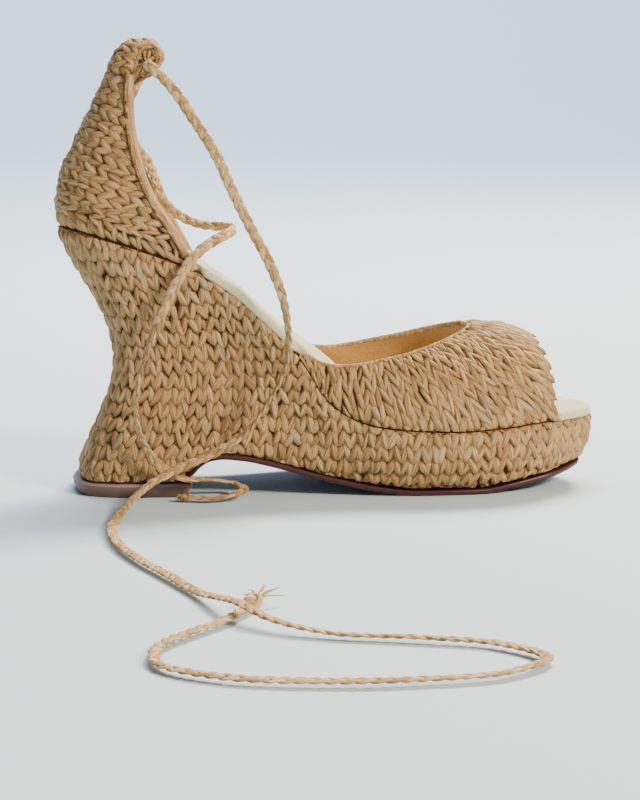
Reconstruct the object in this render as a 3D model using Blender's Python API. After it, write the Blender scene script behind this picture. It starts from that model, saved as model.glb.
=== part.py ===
"""Left-foot sandal: a raffia wedge with a peep-toe vamp, a heel counter and an ankle tie.

The toe points along +X, the outer side of the foot is +Y and the floor is Z = 0. Sizes are in
millimetres, "along" runs from the back of the heel to the toe, and MM turns them into metres.
"""

import bmesh
import bpy
import numpy as np

MM = 0.001
LENGTH = 228.0
GAP = 0.3
TURNS = 54

# Plan of the wedge's top edge, the feather line that the upper stands on
TOP_EDGE = np.array(
    [
        # along, inner side, outer side
        (0.0, 0.0, 0.0),
        (8.0, -18.5, 18.5),
        (20.0, -25.5, 25.5),
        (36.0, -28.3, 28.3),
        (62.0, -29.0, 30.0),
        (92.0, -30.6, 34.0),
        (122.0, -35.2, 39.6),
        (146.0, -40.2, 41.5),
        (162.0, -41.5, 40.8),
        (184.0, -39.6, 36.2),
        (204.0, -33.8, 26.5),
        (218.0, -24.6, 12.5),
        (LENGTH, -8.0, -8.0),
    ]
)

# Plan of the wedge's bottom edge
BASE_EDGE = np.array(
    [
        # along, inner side, outer side
        (7.0, 0.0, 0.0),
        (9.0, -14.5, 14.5),
        (15.0, -21.6, 21.6),
        (26.0, -24.6, 24.6),
        (40.0, -25.3, 25.3),
        (62.0, -26.4, 27.2),
        (92.0, -27.6, 30.8),
        (122.0, -30.4, 35.4),
        (146.0, -32.2, 35.8),
        (162.0, -32.8, 34.4),
        (184.0, -31.2, 29.8),
        (204.0, -26.6, 20.2),
        (215.0, -19.6, 8.6),
        (222.5, -8.5, -8.5),
    ]
)

# Height of the wedge's top, in the middle where the insole lies and at the rim
TOP_LEVELS = np.array(
    [
        # along, seat, rim
        (0.0, 113.0, 113.0),
        (8.0, 111.8, 111.8),
        (20.0, 108.7, 108.7),
        (35.0, 104.2, 104.2),
        (47.0, 99.9, 99.9),
        (58.0, 95.1, 95.1),
        (72.0, 86.4, 86.4),
        (84.0, 75.7, 75.7),
        (96.0, 64.2, 64.2),
        (100.0, 60.5, 59.4),
        (104.0, 56.8, 53.0),
        (110.0, 51.3, 43.2),
        (116.0, 45.7, 37.2),
        (123.0, 39.5, 33.0),
        (131.0, 34.4, 30.5),
        (140.0, 31.1, 29.2),
        (152.0, 29.0, 28.5),
        (168.0, 28.1, 28.1),
        (186.0, 28.9, 28.9),
        (206.0, 30.3, 30.3),
        (LENGTH, 30.0, 30.0),
    ]
)

# Height of the outsole's underside: on the lift, over the arch, on the floor, up at the toe
UNDERSIDE = np.array(
    [
        # along, height
        (6.0, 6.3),
        (50.0, 6.3),
        (55.0, 9.2),
        (59.0, 13.2),
        (63.0, 15.4),
        (68.0, 16.1),
        (76.0, 15.4),
        (87.0, 13.1),
        (98.0, 10.1),
        (108.0, 7.3),
        (118.0, 4.9),
        (134.0, 1.7),
        (150.0, 0.0),
        (177.0, 0.0),
        (189.0, 1.8),
        (202.0, 4.1),
        (213.0, 6.2),
        (223.0, 8.8),
    ]
)

LIFT_START = 4.9
LIFT_CORNER = 7.4
LIFT_FRONT = 55.0
LIFT_HEIGHT = 6.0
LIFT_HALF = 22.0
LIFT_LEDGE = 1.5
LIFT_DRAFT = 1.4

OUTSOLE_THICKNESS = 2.5
OUTSOLE_LEDGE = 0.4

# The heel's hourglass: how far its back and sides draw in half way up, and how far that reaches
WAIST_BACK = 19.2
WAIST_REACH = 150.0
WAIST_SIDE = 0.17
WAIST_POWER = 1.5
WAIST_FADE = (40.0, 112.0)
SIDE_STEPS = 11
# Under the forefoot the side drops straight, then curls in to the sole
CURL_POWER = 2.8
CURL_FADE = (60.0, 150.0)
REBATE = 4.1
REBATE_STEP = 0.2

INSOLE_THICKNESS = 4.1
INSOLE_EDGE = 1.3
INSOLE_EASE = 0.35
# Inside the upper's wall the insole is cut back; at the waist and the toe it comes to the edge
INSOLE_CUT_BACK = 4.6
INSOLE_FLUSH = 0.4
INSOLE_WAIST = (59.0, 67.0, 92.0, 99.5)
INSOLE_TOE = (208.0, 215.0)

WALL = 3.0
UPPER_SET_IN = 0.7
UPPER_GAP = 0.7

# Height of the forefoot's form along its crest; the vamp is the part of it between two edges
CREST = np.array(
    [
        # along, height
        (100.0, 99.0),
        (116.0, 84.5),
        (130.0, 76.5),
        (150.0, 70.8),
        (165.0, 69.7),
        (176.0, 69.4),
        (184.0, 69.2),
        (190.0, 68.5),
        (197.0, 66.6),
        (203.0, 63.0),
        (210.0, 56.8),
    ]
)
VAMP_ROUND = 2.4
VAMP_BACK = (100.5, 103.0)
VAMP_THROAT = 175.0
VAMP_THROAT_POWER = 1.4
VAMP_TOE = (208.0, 202.0)
VAMP_TOE_CREST = 201.0
VAMP_TOE_POWER = 7.0
VAMP_GIRTH_STEPS = 30
VAMP_LENGTH_STEPS = 16
VAMP_LENGTH_POWER = 1.3

# The counter as level sections from the seat up to the neck, then over the fold and down inside it
COUNTER = np.array(
    [
        # back along, back height, front along, front height, half width
        (0.6, 113.3, 58.0, 95.4, 28.5),
        (-0.2, 121.0, 49.6, 112.5, 28.8),
        (1.4, 133.4, 41.8, 125.2, 27.2),
        (6.9, 146.4, 36.2, 139.5, 23.8),
        (13.2, 159.2, 33.4, 154.0, 19.2),
        (19.5, 171.4, 32.8, 168.0, 14.6),
        (23.2, 180.4, 33.6, 176.0, 13.2),
        (27.2, 187.4, 35.0, 182.4, 12.8),
        (33.0, 190.7, 37.0, 187.0, 12.4),
        (39.4, 191.0, 40.0, 189.0, 12.0),
        (44.6, 188.4, 43.2, 186.8, 11.6),
        (46.2, 183.4, 44.8, 183.0, 11.2),
        (44.0, 178.4, 43.0, 179.0, 10.8),
        (39.0, 174.2, 38.4, 175.0, 10.4),
        (33.0, 170.8, 32.6, 171.7, 10.0),
    ]
)
COUNTER_BASE_ROWS = 1.2
COUNTER_ROUND_ROWS = (0.8, 4.0)
COUNTER_SUBSTEPS = 3
COUNTER_ACROSS = 9

TIE_DIAMETER = 4.0
TIE_STEP = 10.5
TIE_LEAD = 3.0
TIE_SIDES = 2
TIE_BRIDGE_HALF = 12.6
TIE_MOUTH = (38.7, 181.8)

# Route of the tie's near end: out of the tunnel, down past the wedge, and in a loop on the floor
TIE_NEAR = np.array(
    [
        # along, across, height
        (38.7, -12.9, 181.8),
        (38.9, -16.4, 181.4),
        (46.8, -20.6, 174.2),
        (58.4, -24.5, 157.6),
        (67.2, -30.0, 143.0),
        (73.0, -34.0, 129.8),
        (80.9, -37.0, 113.5),
        (87.2, -39.5, 101.4),
        (91.8, -41.0, 90.0),
        (94.6, -41.6, 77.0),
        (94.9, -41.6, 63.4),
        (92.4, -41.0, 53.7),
        (88.2, -40.0, 45.3),
        (82.4, -38.5, 35.8),
        (75.0, -37.0, 27.3),
        (66.7, -36.2, 22.2),
        (56.7, -36.4, 18.0),
        (47.5, -38.0, 14.0),
        (40.0, -42.0, 11.2),
        (33.3, -49.0, 7.8),
        (27.6, -58.5, 4.2),
        (24.0, -70.0, 2.3),
        (22.0, -88.0, 2.3),
        (22.8, -104.0, 2.3),
        (26.0, -122.0, 2.3),
        (32.0, -141.0, 2.3),
        (43.0, -168.0, 2.3),
        (54.0, -197.0, 2.6),
        (60.6, -214.0, 5.2),
        (66.0, -227.0, 6.8),
        (75.5, -240.0, 4.6),
        (94.0, -251.0, 2.3),
        (122.0, -259.0, 2.3),
        (149.0, -270.0, 2.3),
        (160.0, -286.0, 2.3),
        (147.0, -300.0, 2.3),
        (118.0, -306.0, 2.3),
        (86.0, -305.0, 2.3),
        (56.0, -297.0, 2.3),
        (38.5, -282.0, 2.3),
        (38.0, -263.0, 2.3),
        (49.0, -246.0, 2.3),
        (61.0, -231.5, 2.3),
        (69.0, -217.0, 2.3),
    ]
)

# Route of the tie's far end: out behind the counter, over the insole, and down the near side
TIE_FAR = np.array(
    [
        # along, across, height
        (38.7, 12.9, 181.8),
        (38.8, 16.4, 182.1),
        (40.6, 20.4, 183.8),
        (41.4, 24.0, 182.6),
        (39.0, 26.6, 178.0),
        (34.0, 27.2, 169.5),
        (30.4, 27.2, 159.5),
        (31.0, 27.8, 149.5),
        (35.2, 28.2, 143.4),
        (39.6, 25.4, 137.0),
        (42.8, 20.6, 128.6),
        (46.0, 17.6, 121.4),
        (52.0, 14.6, 115.6),
        (61.0, 11.0, 112.0),
        (70.0, 5.0, 111.4),
        (74.8, -5.0, 111.6),
        (72.0, -15.5, 110.6),
        (65.6, -24.0, 108.2),
        (59.6, -30.4, 104.9),
        (53.9, -33.6, 98.9),
        (49.9, -33.8, 92.6),
        (45.5, -32.6, 83.4),
        (40.4, -31.2, 72.0),
        (36.0, -30.4, 61.2),
        (33.3, -30.0, 51.0),
        (32.0, -30.2, 41.0),
        (32.8, -31.0, 31.6),
        (35.6, -31.6, 23.4),
        (39.6, -31.8, 17.2),
        (44.6, -31.6, 12.6),
        (51.0, -31.2, 9.6),
        (59.0, -27.8, 8.2),
        (67.0, -23.6, 6.6),
        (73.4, -22.8, 5.2),
        (76.8, -28.0, 4.0),
        (73.2, -34.6, 3.0),
        (65.0, -37.6, 2.3),
        (54.4, -36.0, 2.3),
    ]
)

KNOT_HALF = (5.0, 4.0, 3.4)
KNOT_NEAR = (71.2, -212.7, 3.7)
KNOT_FAR = (48.9, -35.2, 3.7)
KNOT_RINGS = 8

COLOURS = {
    "heel_lift": (0.235, 0.13, 0.11),
    "outsole": (0.14, 0.018, 0.018),
    "wedge": (0.5, 0.33, 0.18),
    "insole": (0.66, 0.62, 0.44),
    "vamp": (0.5, 0.33, 0.18),
    "heel_counter": (0.48, 0.31, 0.17),
    "tie_bridge": (0.56, 0.36, 0.17),
    "tie_near": (0.56, 0.36, 0.17),
    "tie_far": (0.56, 0.36, 0.17),
    "tie_near_knot": (0.53, 0.34, 0.16),
    "tie_far_knot": (0.53, 0.34, 0.16),
}


def through(places, values, at):
    """Values on a smooth curve through a table, which never swings past the table's own values."""
    step = np.diff(places)
    rise = np.diff(values) / step
    same_way = rise[:-1] * rise[1:] > 0
    mean = np.zeros(len(rise) - 1)
    mean[same_way] = 2 / (1 / rise[:-1][same_way] + 1 / rise[1:][same_way])
    slope = np.concatenate([rise[:1], mean, rise[-1:]])
    row = np.clip(np.searchsorted(places, at, side="right") - 1, 0, len(step) - 1)
    part = (at - places[row]) / step[row]
    rest = 1 - part
    ends = values[row] * (1 + 2 * part) * rest**2 + values[row + 1] * (1 + 2 * rest) * part**2
    return ends + step[row] * part * rest * (slope[row] * rest - slope[row + 1] * part)


def ease(at, start, end):
    """0 before the start, 1 after the end, and a smooth rise between them."""
    part = np.clip((at - start) / (end - start), 0, 1)
    return part * part * (3 - 2 * part)


def plan(edge, turn):
    """Along, inner and outer reach of an outline, from its back at turn 0 to its front at turn 1."""
    start, end = edge[0, 0], edge[-1, 0]
    at = np.arccos(np.clip(1 - 2 * (edge[:, 0] - start) / (end - start), -1, 1)) / np.pi
    along = start + (end - start) * (1 - np.cos(np.pi * turn)) / 2
    return along, through(at, edge[:, 1], turn), through(at, edge[:, 2], turn)


def level(table, column, along):
    return through(table[:, 0], table[:, column], along)


def add_mesh(name, points, faces):
    """A named object from points in millimetres, with coinciding points made one."""
    mesh = bpy.data.meshes.new(name)
    placed = (points - (LENGTH / 2, 0, 0)) * MM
    mesh.from_pydata(placed.tolist(), [], faces)
    form = bmesh.new()
    form.from_mesh(mesh)
    bmesh.ops.remove_doubles(form, verts=form.verts, dist=1e-6)
    bmesh.ops.dissolve_degenerate(form, edges=form.edges, dist=1e-7)
    bmesh.ops.recalc_face_normals(form, faces=form.faces)
    form.to_mesh(mesh)
    form.free()
    thing = bpy.data.objects.new(name, mesh)
    bpy.context.scene.collection.objects.link(thing)
    return thing


def add_loft(name, loops):
    """A solid through closed loops of points, rows by columns, with a flat face on each open end."""
    rows, columns = loops.shape[:2]
    number = np.arange(rows * columns).reshape(rows, columns)
    over = np.roll(number, -1, axis=1)
    quads = np.stack([number[:-1], over[:-1], over[1:], number[1:]], axis=-1).reshape(-1, 4)
    ends = [number[i].tolist() for i in (0, -1) if np.ptp(loops[i, :, 1]) > GAP]
    return add_mesh(name, loops.reshape(-1, 3), quads.tolist() + ends)


def add_shell(name, outside, thickness):
    """A solid wall of even thickness behind a grid of points, closed along the grid's four edges."""
    across = np.gradient(outside, axis=1)
    onward = np.gradient(outside, axis=0)
    facing = np.cross(across, onward)
    facing /= np.linalg.norm(facing, axis=-1, keepdims=True)
    inside = outside - facing * thickness
    rows, columns = outside.shape[:2]
    front = np.arange(rows * columns).reshape(rows, columns)
    back = front + rows * columns
    faces = []
    for sheet in (front, back):
        faces.append(np.stack([sheet[:-1, :-1], sheet[:-1, 1:], sheet[1:, 1:], sheet[1:, :-1]], -1))
    for near, far in ((front[0], back[0]), (front[-1], back[-1])):
        faces.append(np.stack([near[:-1], near[1:], far[1:], far[:-1]], -1))
    for near, far in ((front[:, 0], back[:, 0]), (front[:, -1], back[:, -1])):
        faces.append(np.stack([near[:-1], near[1:], far[1:], far[:-1]], -1))
    quads = np.concatenate([part.reshape(-1, 4) for part in faces])
    points = np.concatenate([outside.reshape(-1, 3), inside.reshape(-1, 3)])
    return add_mesh(name, points, quads.tolist())


def add_tube(name, route, spacing):
    """A cord along a smooth curve through a route's points, read off at even steps."""
    chord = np.concatenate([[0], np.cumsum(np.linalg.norm(np.diff(route, axis=0), axis=1))])
    fine = np.linspace(0, chord[-1], 40 * len(route))
    slope = np.gradient(route, chord, axis=0)
    row = np.clip(np.searchsorted(chord, fine, side="right") - 1, 0, len(route) - 2)
    step = np.diff(chord)[row][:, None]
    part = (fine - chord[row])[:, None] / step
    rest = 1 - part
    line = route[row] * (1 + 2 * part) * rest**2 + route[row + 1] * (1 + 2 * rest) * part**2
    line += step * part * rest * (slope[row] * rest - slope[row + 1] * part)
    run = np.concatenate([[0], np.cumsum(np.linalg.norm(np.diff(line, axis=0), axis=1))])
    even = np.linspace(TIE_LEAD, run[-1], int(np.ceil(run[-1] / spacing)) + 1)
    even = np.concatenate([[0], even])
    points = np.stack([np.interp(even, run, line[:, k]) for k in range(3)], axis=1)
    points = (points - (LENGTH / 2, 0, 0)) * MM
    curve = bpy.data.curves.new(name, "CURVE")
    curve.dimensions = "3D"
    curve.bevel_depth = TIE_DIAMETER / 2 * MM
    curve.bevel_resolution = TIE_SIDES
    curve.use_fill_caps = True
    spline = curve.splines.new("POLY")
    spline.points.add(len(points) - 1)
    spline.points.foreach_set("co", np.c_[points, np.ones(len(points))].ravel())
    thing = bpy.data.objects.new(name, curve)
    bpy.context.scene.collection.objects.link(thing)
    return thing


def stack(along, across, up):
    return np.stack(np.broadcast_arrays(along, across, up), axis=-1)


def outward(along, across, side):
    """Unit plan direction away from an outline, side -1 for the inner edge and +1 for the outer."""
    run = np.gradient(along)
    swing = np.gradient(across)
    away = np.stack([-side * swing, side * run], axis=-1)
    away /= np.linalg.norm(away, axis=-1, keepdims=True)
    away[0] = (-1, 0)
    away[-1] = (1, 0)
    return away


def build_lift():
    """The heel's top-piece: an outline with a round back and a flat front, drawn in to the floor."""
    front_turn = np.arccos(1 - 2 * (LIFT_FRONT - LIFT_START) / (BASE_EDGE[-1, 0] - LIFT_START)) / np.pi
    turn = np.linspace(0, front_turn, 22)
    edge = BASE_EDGE.copy()
    edge[:2, 0] = LIFT_START, LIFT_CORNER
    along, inner, outer = plan(edge, turn)
    spread = np.minimum(1, outer / LIFT_HALF)
    top = LIFT_LEDGE * spread
    foot = top - LIFT_DRAFT * spread
    shift = LIFT_DRAFT * (1 - turn / front_turn) ** 2
    loops = np.stack(
        [
            stack(along, outer + top, LIFT_HEIGHT),
            stack(along, inner - top, LIFT_HEIGHT),
            stack(along + shift, inner - foot, 0.0),
            stack(along + shift, outer + foot, 0.0),
        ],
        axis=1,
    )
    return add_loft("heel_lift", loops)


def build_outsole():
    """A thin sole under the whole wedge, flat on the lift and on the floor at the ball."""
    turn = np.linspace(0, 1, TURNS + 1)
    along, inner, outer = plan(BASE_EDGE, turn)
    spread = OUTSOLE_LEDGE * np.sin(np.pi * turn)
    low = level(UNDERSIDE, 1, along)
    high = low + OUTSOLE_THICKNESS
    middle = (inner + outer) / 2
    loops = np.stack(
        [
            stack(along, outer + spread, high),
            stack(along, middle, high),
            stack(along, inner - spread, high),
            stack(along, inner - spread, low),
            stack(along, middle, low),
            stack(along, outer + spread, low),
        ],
        axis=1,
    )
    return add_loft("outsole", loops)


def wedge_side(turn, side):
    """Rows down one side of the wedge from the rim to the sole: hourglass heel, curled-in forefoot."""
    top_along, *top_reach = plan(TOP_EDGE, turn)
    base_along, *base_reach = plan(BASE_EDGE, turn)
    top_across = top_reach[0] if side < 0 else top_reach[1]
    base_across = base_reach[0] if side < 0 else base_reach[1]
    rim = level(TOP_LEVELS, 2, top_along)
    foot = level(UNDERSIDE, 1, base_along) + OUTSOLE_THICKNESS + GAP
    curl = 1 + (CURL_POWER - 1) * ease(top_along, *CURL_FADE)
    down = np.linspace(0, 1, SIDE_STEPS + 1)[:, None]
    lean = down**curl
    drawn = np.sin(np.pi * down) ** WAIST_POWER
    forward = WAIST_BACK * np.clip(1 - top_along / WAIST_REACH, 0, 1) ** 2
    narrow = WAIST_SIDE * (1 - ease(top_along, *WAIST_FADE))
    return stack(
        top_along + (base_along - top_along) * lean + forward * drawn,
        (top_across + (base_across - top_across) * lean) * (1 - narrow * drawn),
        rim + (foot - rim) * down,
    )


def build_wedge():
    """The wedge block: two shaped sides, a top with a rebate for the upper's wall, a curved base."""
    turn = np.linspace(0, 1, TURNS + 1)
    along, inner, outer = plan(TOP_EDGE, turn)
    seat = level(TOP_LEVELS, 1, along)
    rim = level(TOP_LEVELS, 2, along)
    middle = (inner + outer) / 2
    half = (outer - inner) / 2
    wall = np.minimum(REBATE - REBATE_STEP, 0.5 * half)
    step = np.minimum(REBATE, 0.55 * half)
    base_along, base_inner, base_outer = plan(BASE_EDGE, turn)
    foot = level(UNDERSIDE, 1, base_along) + OUTSOLE_THICKNESS + GAP
    top = [
        stack(along, outer - wall, rim),
        stack(along, outer - step, seat),
        stack(along, middle, seat),
        stack(along, inner + step, seat),
        stack(along, inner + wall, rim),
    ]
    base = [stack(base_along, (base_inner + base_outer) / 2, foot)]
    near = list(wedge_side(turn, -1))
    far = list(wedge_side(turn, 1)[::-1])
    return add_loft("wedge", np.stack(top + near + base + far, axis=1))


def insole_cut(along):
    """How far the insole's edge stands in from the wedge's edge."""
    waist_start, waist_full, waist_last, waist_end = INSOLE_WAIST
    bare = ease(along, waist_start, waist_full) * (1 - ease(along, waist_last, waist_end))
    bare = bare + ease(along, *INSOLE_TOE)
    return INSOLE_CUT_BACK + (INSOLE_FLUSH - INSOLE_CUT_BACK) * bare


def build_insole():
    """The padded footbed: an even layer on the wedge's top with an eased upper edge."""
    turn = np.linspace(0, 1, TURNS + 1)
    along, *reach = plan(TOP_EDGE, turn)
    low, under_edge, upper_edge, eased = {}, {}, {}, {}
    for side, across in zip((-1, 1), reach):
        away = outward(along, across, side) * insole_cut(along)[:, None]
        edge_along = along - away[:, 0]
        edge_across = across - away[:, 1]
        low[side] = level(TOP_LEVELS, 1, edge_along) + GAP
        slope = np.gradient(low[side], edge_along)
        high = low[side] + INSOLE_THICKNESS * np.sqrt(1 + slope**2)
        under_edge[side] = stack(edge_along, edge_across, low[side])
        upper_edge[side] = stack(edge_along, edge_across, high - INSOLE_EDGE)
        eased[side] = stack(edge_along, edge_across, high)
    middle = (eased[-1] + eased[1]) / 2
    shrink = INSOLE_EDGE / np.maximum(np.abs(eased[1] - middle)[:, 1:2], 3 * INSOLE_EDGE)
    for side in (-1, 1):
        eased[side] += (middle - eased[side]) * shrink - (0, 0, INSOLE_EASE)
    for end in (0, -1):
        middle[end] = eased[1][end] = eased[-1][end] = upper_edge[1][end]
    under_middle = (under_edge[-1] + under_edge[1]) / 2
    loops = [under_edge[1], upper_edge[1], eased[1], middle, eased[-1], upper_edge[-1], under_edge[-1]]
    return add_loft("insole", np.stack(loops + [under_middle], axis=1))


def reach_at(along):
    """Inner and outer reach of the wedge's top edge at places along the shoe."""
    return plan(TOP_EDGE, np.arccos(1 - 2 * along / LENGTH) / np.pi)[1:]


def build_vamp():
    """A band of the forefoot's rounded form between the throat and the toe opening."""
    girth = np.linspace(0, np.pi, VAMP_GIRTH_STEPS + 1)
    outer_share = (1 - np.cos(girth)) / 2
    back = VAMP_BACK[0] + (VAMP_BACK[1] - VAMP_BACK[0]) * outer_share
    front = VAMP_TOE[0] + (VAMP_TOE[1] - VAMP_TOE[0]) * outer_share
    rise = np.clip(np.sin(girth), 0, 1)
    throat = back + (VAMP_THROAT - back) * rise**VAMP_THROAT_POWER
    toe = front + (VAMP_TOE_CREST - front) * rise**VAMP_TOE_POWER
    onward = np.linspace(0, 1, VAMP_LENGTH_STEPS + 1)[:, None] ** VAMP_LENGTH_POWER
    along = throat + (toe - throat) * onward
    inner, outer = reach_at(along)
    half = (outer - inner) / 2 - UPPER_SET_IN
    rim = level(TOP_LEVELS, 2, along) + UPPER_GAP
    turned = np.sign(np.cos(girth)) * np.abs(np.cos(girth)) ** (2 / VAMP_ROUND)
    across = (inner + outer) / 2 - half * turned
    up = rim + (level(CREST, 1, along) - rim) * rise ** (2 / VAMP_ROUND)
    return add_shell("vamp", stack(along, across, up)[:, ::-1], WALL)


def build_counter():
    """A wall round the heel through level sections, folded over at the neck into a tunnel."""
    rows = np.arange(len(COUNTER), dtype=float)
    at = np.linspace(0, rows[-1], COUNTER_SUBSTEPS * (len(COUNTER) - 1) + 1)
    back, back_up, front, front_up, half = (through(rows, column, at)[:, None] for column in COUNTER.T)
    round_back = np.linspace(-1, 1, 2 * COUNTER_ACROSS + 1)
    forward = 1 - np.cos(np.pi / 2 * round_back)
    seat_along = COUNTER[0, 0] + (COUNTER[0, 2] - COUNTER[0, 0]) * forward
    inner, outer = reach_at(seat_along - COUNTER[0, 0] * (1 - forward))
    seat_shape = np.where(round_back < 0, inner + UPPER_SET_IN, outer - UPPER_SET_IN) / COUNTER[0, 4]
    seat_shape[COUNTER_ACROSS] = 0
    circle = ease(at, *COUNTER_ROUND_ROWS)[:, None]
    shape = seat_shape * (1 - circle) + np.sin(np.pi / 2 * round_back) * circle
    along = back + (front - back) * forward
    up = back_up + (front_up - back_up) * forward
    seat_line = COUNTER[0, 1] + (COUNTER[0, 3] - COUNTER[0, 1]) * forward
    follow = level(TOP_LEVELS, 2, seat_along) + UPPER_GAP - seat_line
    up = up + follow * (1 - ease(at, 0, COUNTER_BASE_ROWS))[:, None]
    return add_shell("heel_counter", stack(along, half * shape, up)[:, ::-1], WALL)


def add_knot(name, place):
    """A small tight knot as a rounded solid."""
    turn = np.linspace(0, np.pi, KNOT_RINGS + 1)[:, None]
    round_it = np.linspace(0, 2 * np.pi, 2 * KNOT_RINGS, endpoint=False)
    form = stack(-np.cos(turn), np.sin(turn) * np.cos(round_it), np.sin(turn) * np.sin(round_it))
    return add_loft(name, np.array(place) + form * KNOT_HALF)


for leftover in list(bpy.data.objects):
    bpy.data.objects.remove(leftover)

build_lift()
build_outsole()
build_wedge()
build_insole()
build_vamp()
build_counter()
mouth_along, mouth_height = TIE_MOUTH
bridge = [(mouth_along, side * TIE_BRIDGE_HALF, mouth_height) for side in (-1, 0, 1)]
add_tube("tie_bridge", np.array(bridge), TIE_STEP)
add_tube("tie_near", TIE_NEAR, TIE_STEP)
add_tube("tie_far", TIE_FAR, TIE_STEP)
add_knot("tie_near_knot", KNOT_NEAR)
add_knot("tie_far_knot", KNOT_FAR)

for thing in bpy.context.scene.objects:
    material = bpy.data.materials.new(thing.name)
    material.use_nodes = True
    surface = material.node_tree.nodes["Principled BSDF"]
    surface.inputs["Base Color"].default_value = (*COLOURS[thing.name], 1.0)
    surface.inputs["Roughness"].default_value = 0.7
    thing.data.materials.append(material)
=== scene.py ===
"""Left raffia wedge sandal with an ankle tie.

Sizes are in millimetres. "Along" runs from the back of the heel to the toe, "across" from the inner
side of the foot (negative) to the outer side, and heights start at the floor.
"""

import bpy
import numpy as np
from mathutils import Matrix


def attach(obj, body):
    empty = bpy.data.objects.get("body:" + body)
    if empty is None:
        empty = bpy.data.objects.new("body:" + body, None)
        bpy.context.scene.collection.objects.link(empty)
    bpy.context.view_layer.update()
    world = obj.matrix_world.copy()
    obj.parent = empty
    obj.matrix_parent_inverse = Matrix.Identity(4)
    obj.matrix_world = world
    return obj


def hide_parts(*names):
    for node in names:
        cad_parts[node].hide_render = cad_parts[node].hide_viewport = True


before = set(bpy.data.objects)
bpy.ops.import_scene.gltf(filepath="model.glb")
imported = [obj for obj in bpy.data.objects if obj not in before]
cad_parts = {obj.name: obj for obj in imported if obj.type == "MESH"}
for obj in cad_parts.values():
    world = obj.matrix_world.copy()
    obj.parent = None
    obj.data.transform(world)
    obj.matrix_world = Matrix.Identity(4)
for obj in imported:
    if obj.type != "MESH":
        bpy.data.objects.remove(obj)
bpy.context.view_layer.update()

# Heel lift
# A moulded brown rubber top-piece under the heel, cemented and pinned to the outsole. Its upper edge is
# bevelled, the bevel painted paler as a highlight, and its straight front slants back towards the floor.

MM = 0.001
MIDDLE = 114.0
LIFT_START = 4.9
LIFT_CORNER = 7.4
LIFT_FRONT = 55.0
LIFT_CENTRE = (31.0, 0.3)
LIFT_HEIGHT = 6.0
LIFT_SLANT = 1.8
LIFT_SLANT_REACH = 4.0
LIFT_SMOOTH = 3
LIFT_POINTS = 220
OUTLINE_STEPS = 200
# Width, detail and roughness of a finish's grain, here and for the other materials
RUBBER_GRAIN = (1.111, 3.0, 0.5)

# Plan of the wedge's bottom edge, which the lift and the outsole follow
BASE_EDGE = np.array([
    # along, inner side, outer side
    (7, 0, 0), (9, -14.5, 14.5), (15, -21.6, 21.6), (26, -24.6, 24.6), (40, -25.3, 25.3),
    (62, -26.4, 27.2), (92, -27.6, 30.8), (122, -30.4, 35.4), (146, -32.2, 35.8), (162, -32.8, 34.4),
    (184, -31.2, 29.8), (204, -26.6, 20.2), (215, -19.6, 8.6), (222.5, -8.5, -8.5),
])

LIFT_PROFILE = np.array([
    # inset from the edge, share of the way to the middle, height, share of painted highlight
    (0.0, 1.0, 6.0, 0.0), (4.0, 0.0, 6.0, 0.0), (0.55, 0.0, 6.0, 0.3), (0.1, 0.0, 5.7, 1.0),
    (-0.45, 0.0, 5.1, 1.0), (-0.5, 0.0, 4.8, 0.35), (0.65, 0.0, 0.7, 0.0), (0.85, 0.0, 0.25, 0.0),
    (1.3, 0.0, 0.0, 0.0), (4.5, 0.0, 0.0, 0.0), (0.0, 1.0, 0.0, 0.0),
])


def between(start, end, share):
    """A share of the way from a start to an end."""
    return start + (end - start) * share


def unit(vectors):
    """Vectors divided by their lengths."""
    return vectors / np.maximum(np.linalg.norm(vectors, axis=-1, keepdims=True), 1e-9)


def cubic(places, values, slope, at):
    """A cubic curve through a table: t of the way to the next row, a row's value counts by (1 + 2t)(1 - t)^2
    and its slope by t(1 - t)^2, and the next row's by the same with t turned round."""
    row = np.clip(np.searchsorted(places, at, side="right") - 1, 0, len(places) - 2)
    step = np.diff(places)[row]
    part = (at - places[row]) / step
    if values.ndim > 1:
        step, part = step[:, None], part[:, None]
    rest = 1 - part
    ends = values[row] * (1 + 2 * part) * rest**2 + values[row + 1] * (1 + 2 * rest) * part**2
    return ends + step * part * rest * (slope[row] * rest - slope[row + 1] * part)


def through(places, values, at):
    """Values on a cubic that never swings past its table's own: each slope is the harmonic mean of the
    rises on both sides of a row, or level where one rises and the other falls."""
    rise = np.diff(values) / np.diff(places)
    same_way = rise[:-1] * rise[1:] > 0
    mean = np.zeros(len(rise) - 1)
    mean[same_way] = 2 / (1 / rise[:-1][same_way] + 1 / rise[1:][same_way])
    return cubic(places, values, np.r_[rise[:1], mean, rise[-1:]], at)


def plan(edge, turn):
    """Along, inner and outer reach of an outline, from its back at turn 0 to its front at turn 1."""
    start, end = edge[0, 0], edge[-1, 0]
    at = np.arccos(np.clip(1 - 2 * (edge[:, 0] - start) / (end - start), -1, 1)) / np.pi
    along = between(start, end, (1 - np.cos(np.pi * turn)) / 2)
    return along, through(at, edge[:, 1], turn), through(at, edge[:, 2], turn)


def distances(line):
    """Distance gone along a line at each of its points."""
    return np.r_[0, np.cumsum(np.linalg.norm(np.diff(line, axis=0), axis=1))]


def at_distances(run, values, at):
    """Rows of values that are known at the distances of a run, worked out at other distances."""
    return np.stack([np.interp(at, run, column) for column in values.T], axis=1)


def plan_loop(edge, last_turn, count):
    """A closed plan outline with even steps: the inner side from the front to the back, then the outer."""
    along, inner, outer = plan(edge, np.linspace(0, last_turn, OUTLINE_STEPS))
    loop = np.concatenate([np.c_[along, inner][::-1], np.c_[along, outer][1:]])
    closed = np.concatenate([loop, loop[:1]])
    run = distances(closed)
    return at_distances(run, closed, np.linspace(0, run[-1], count, endpoint=False))


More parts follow.
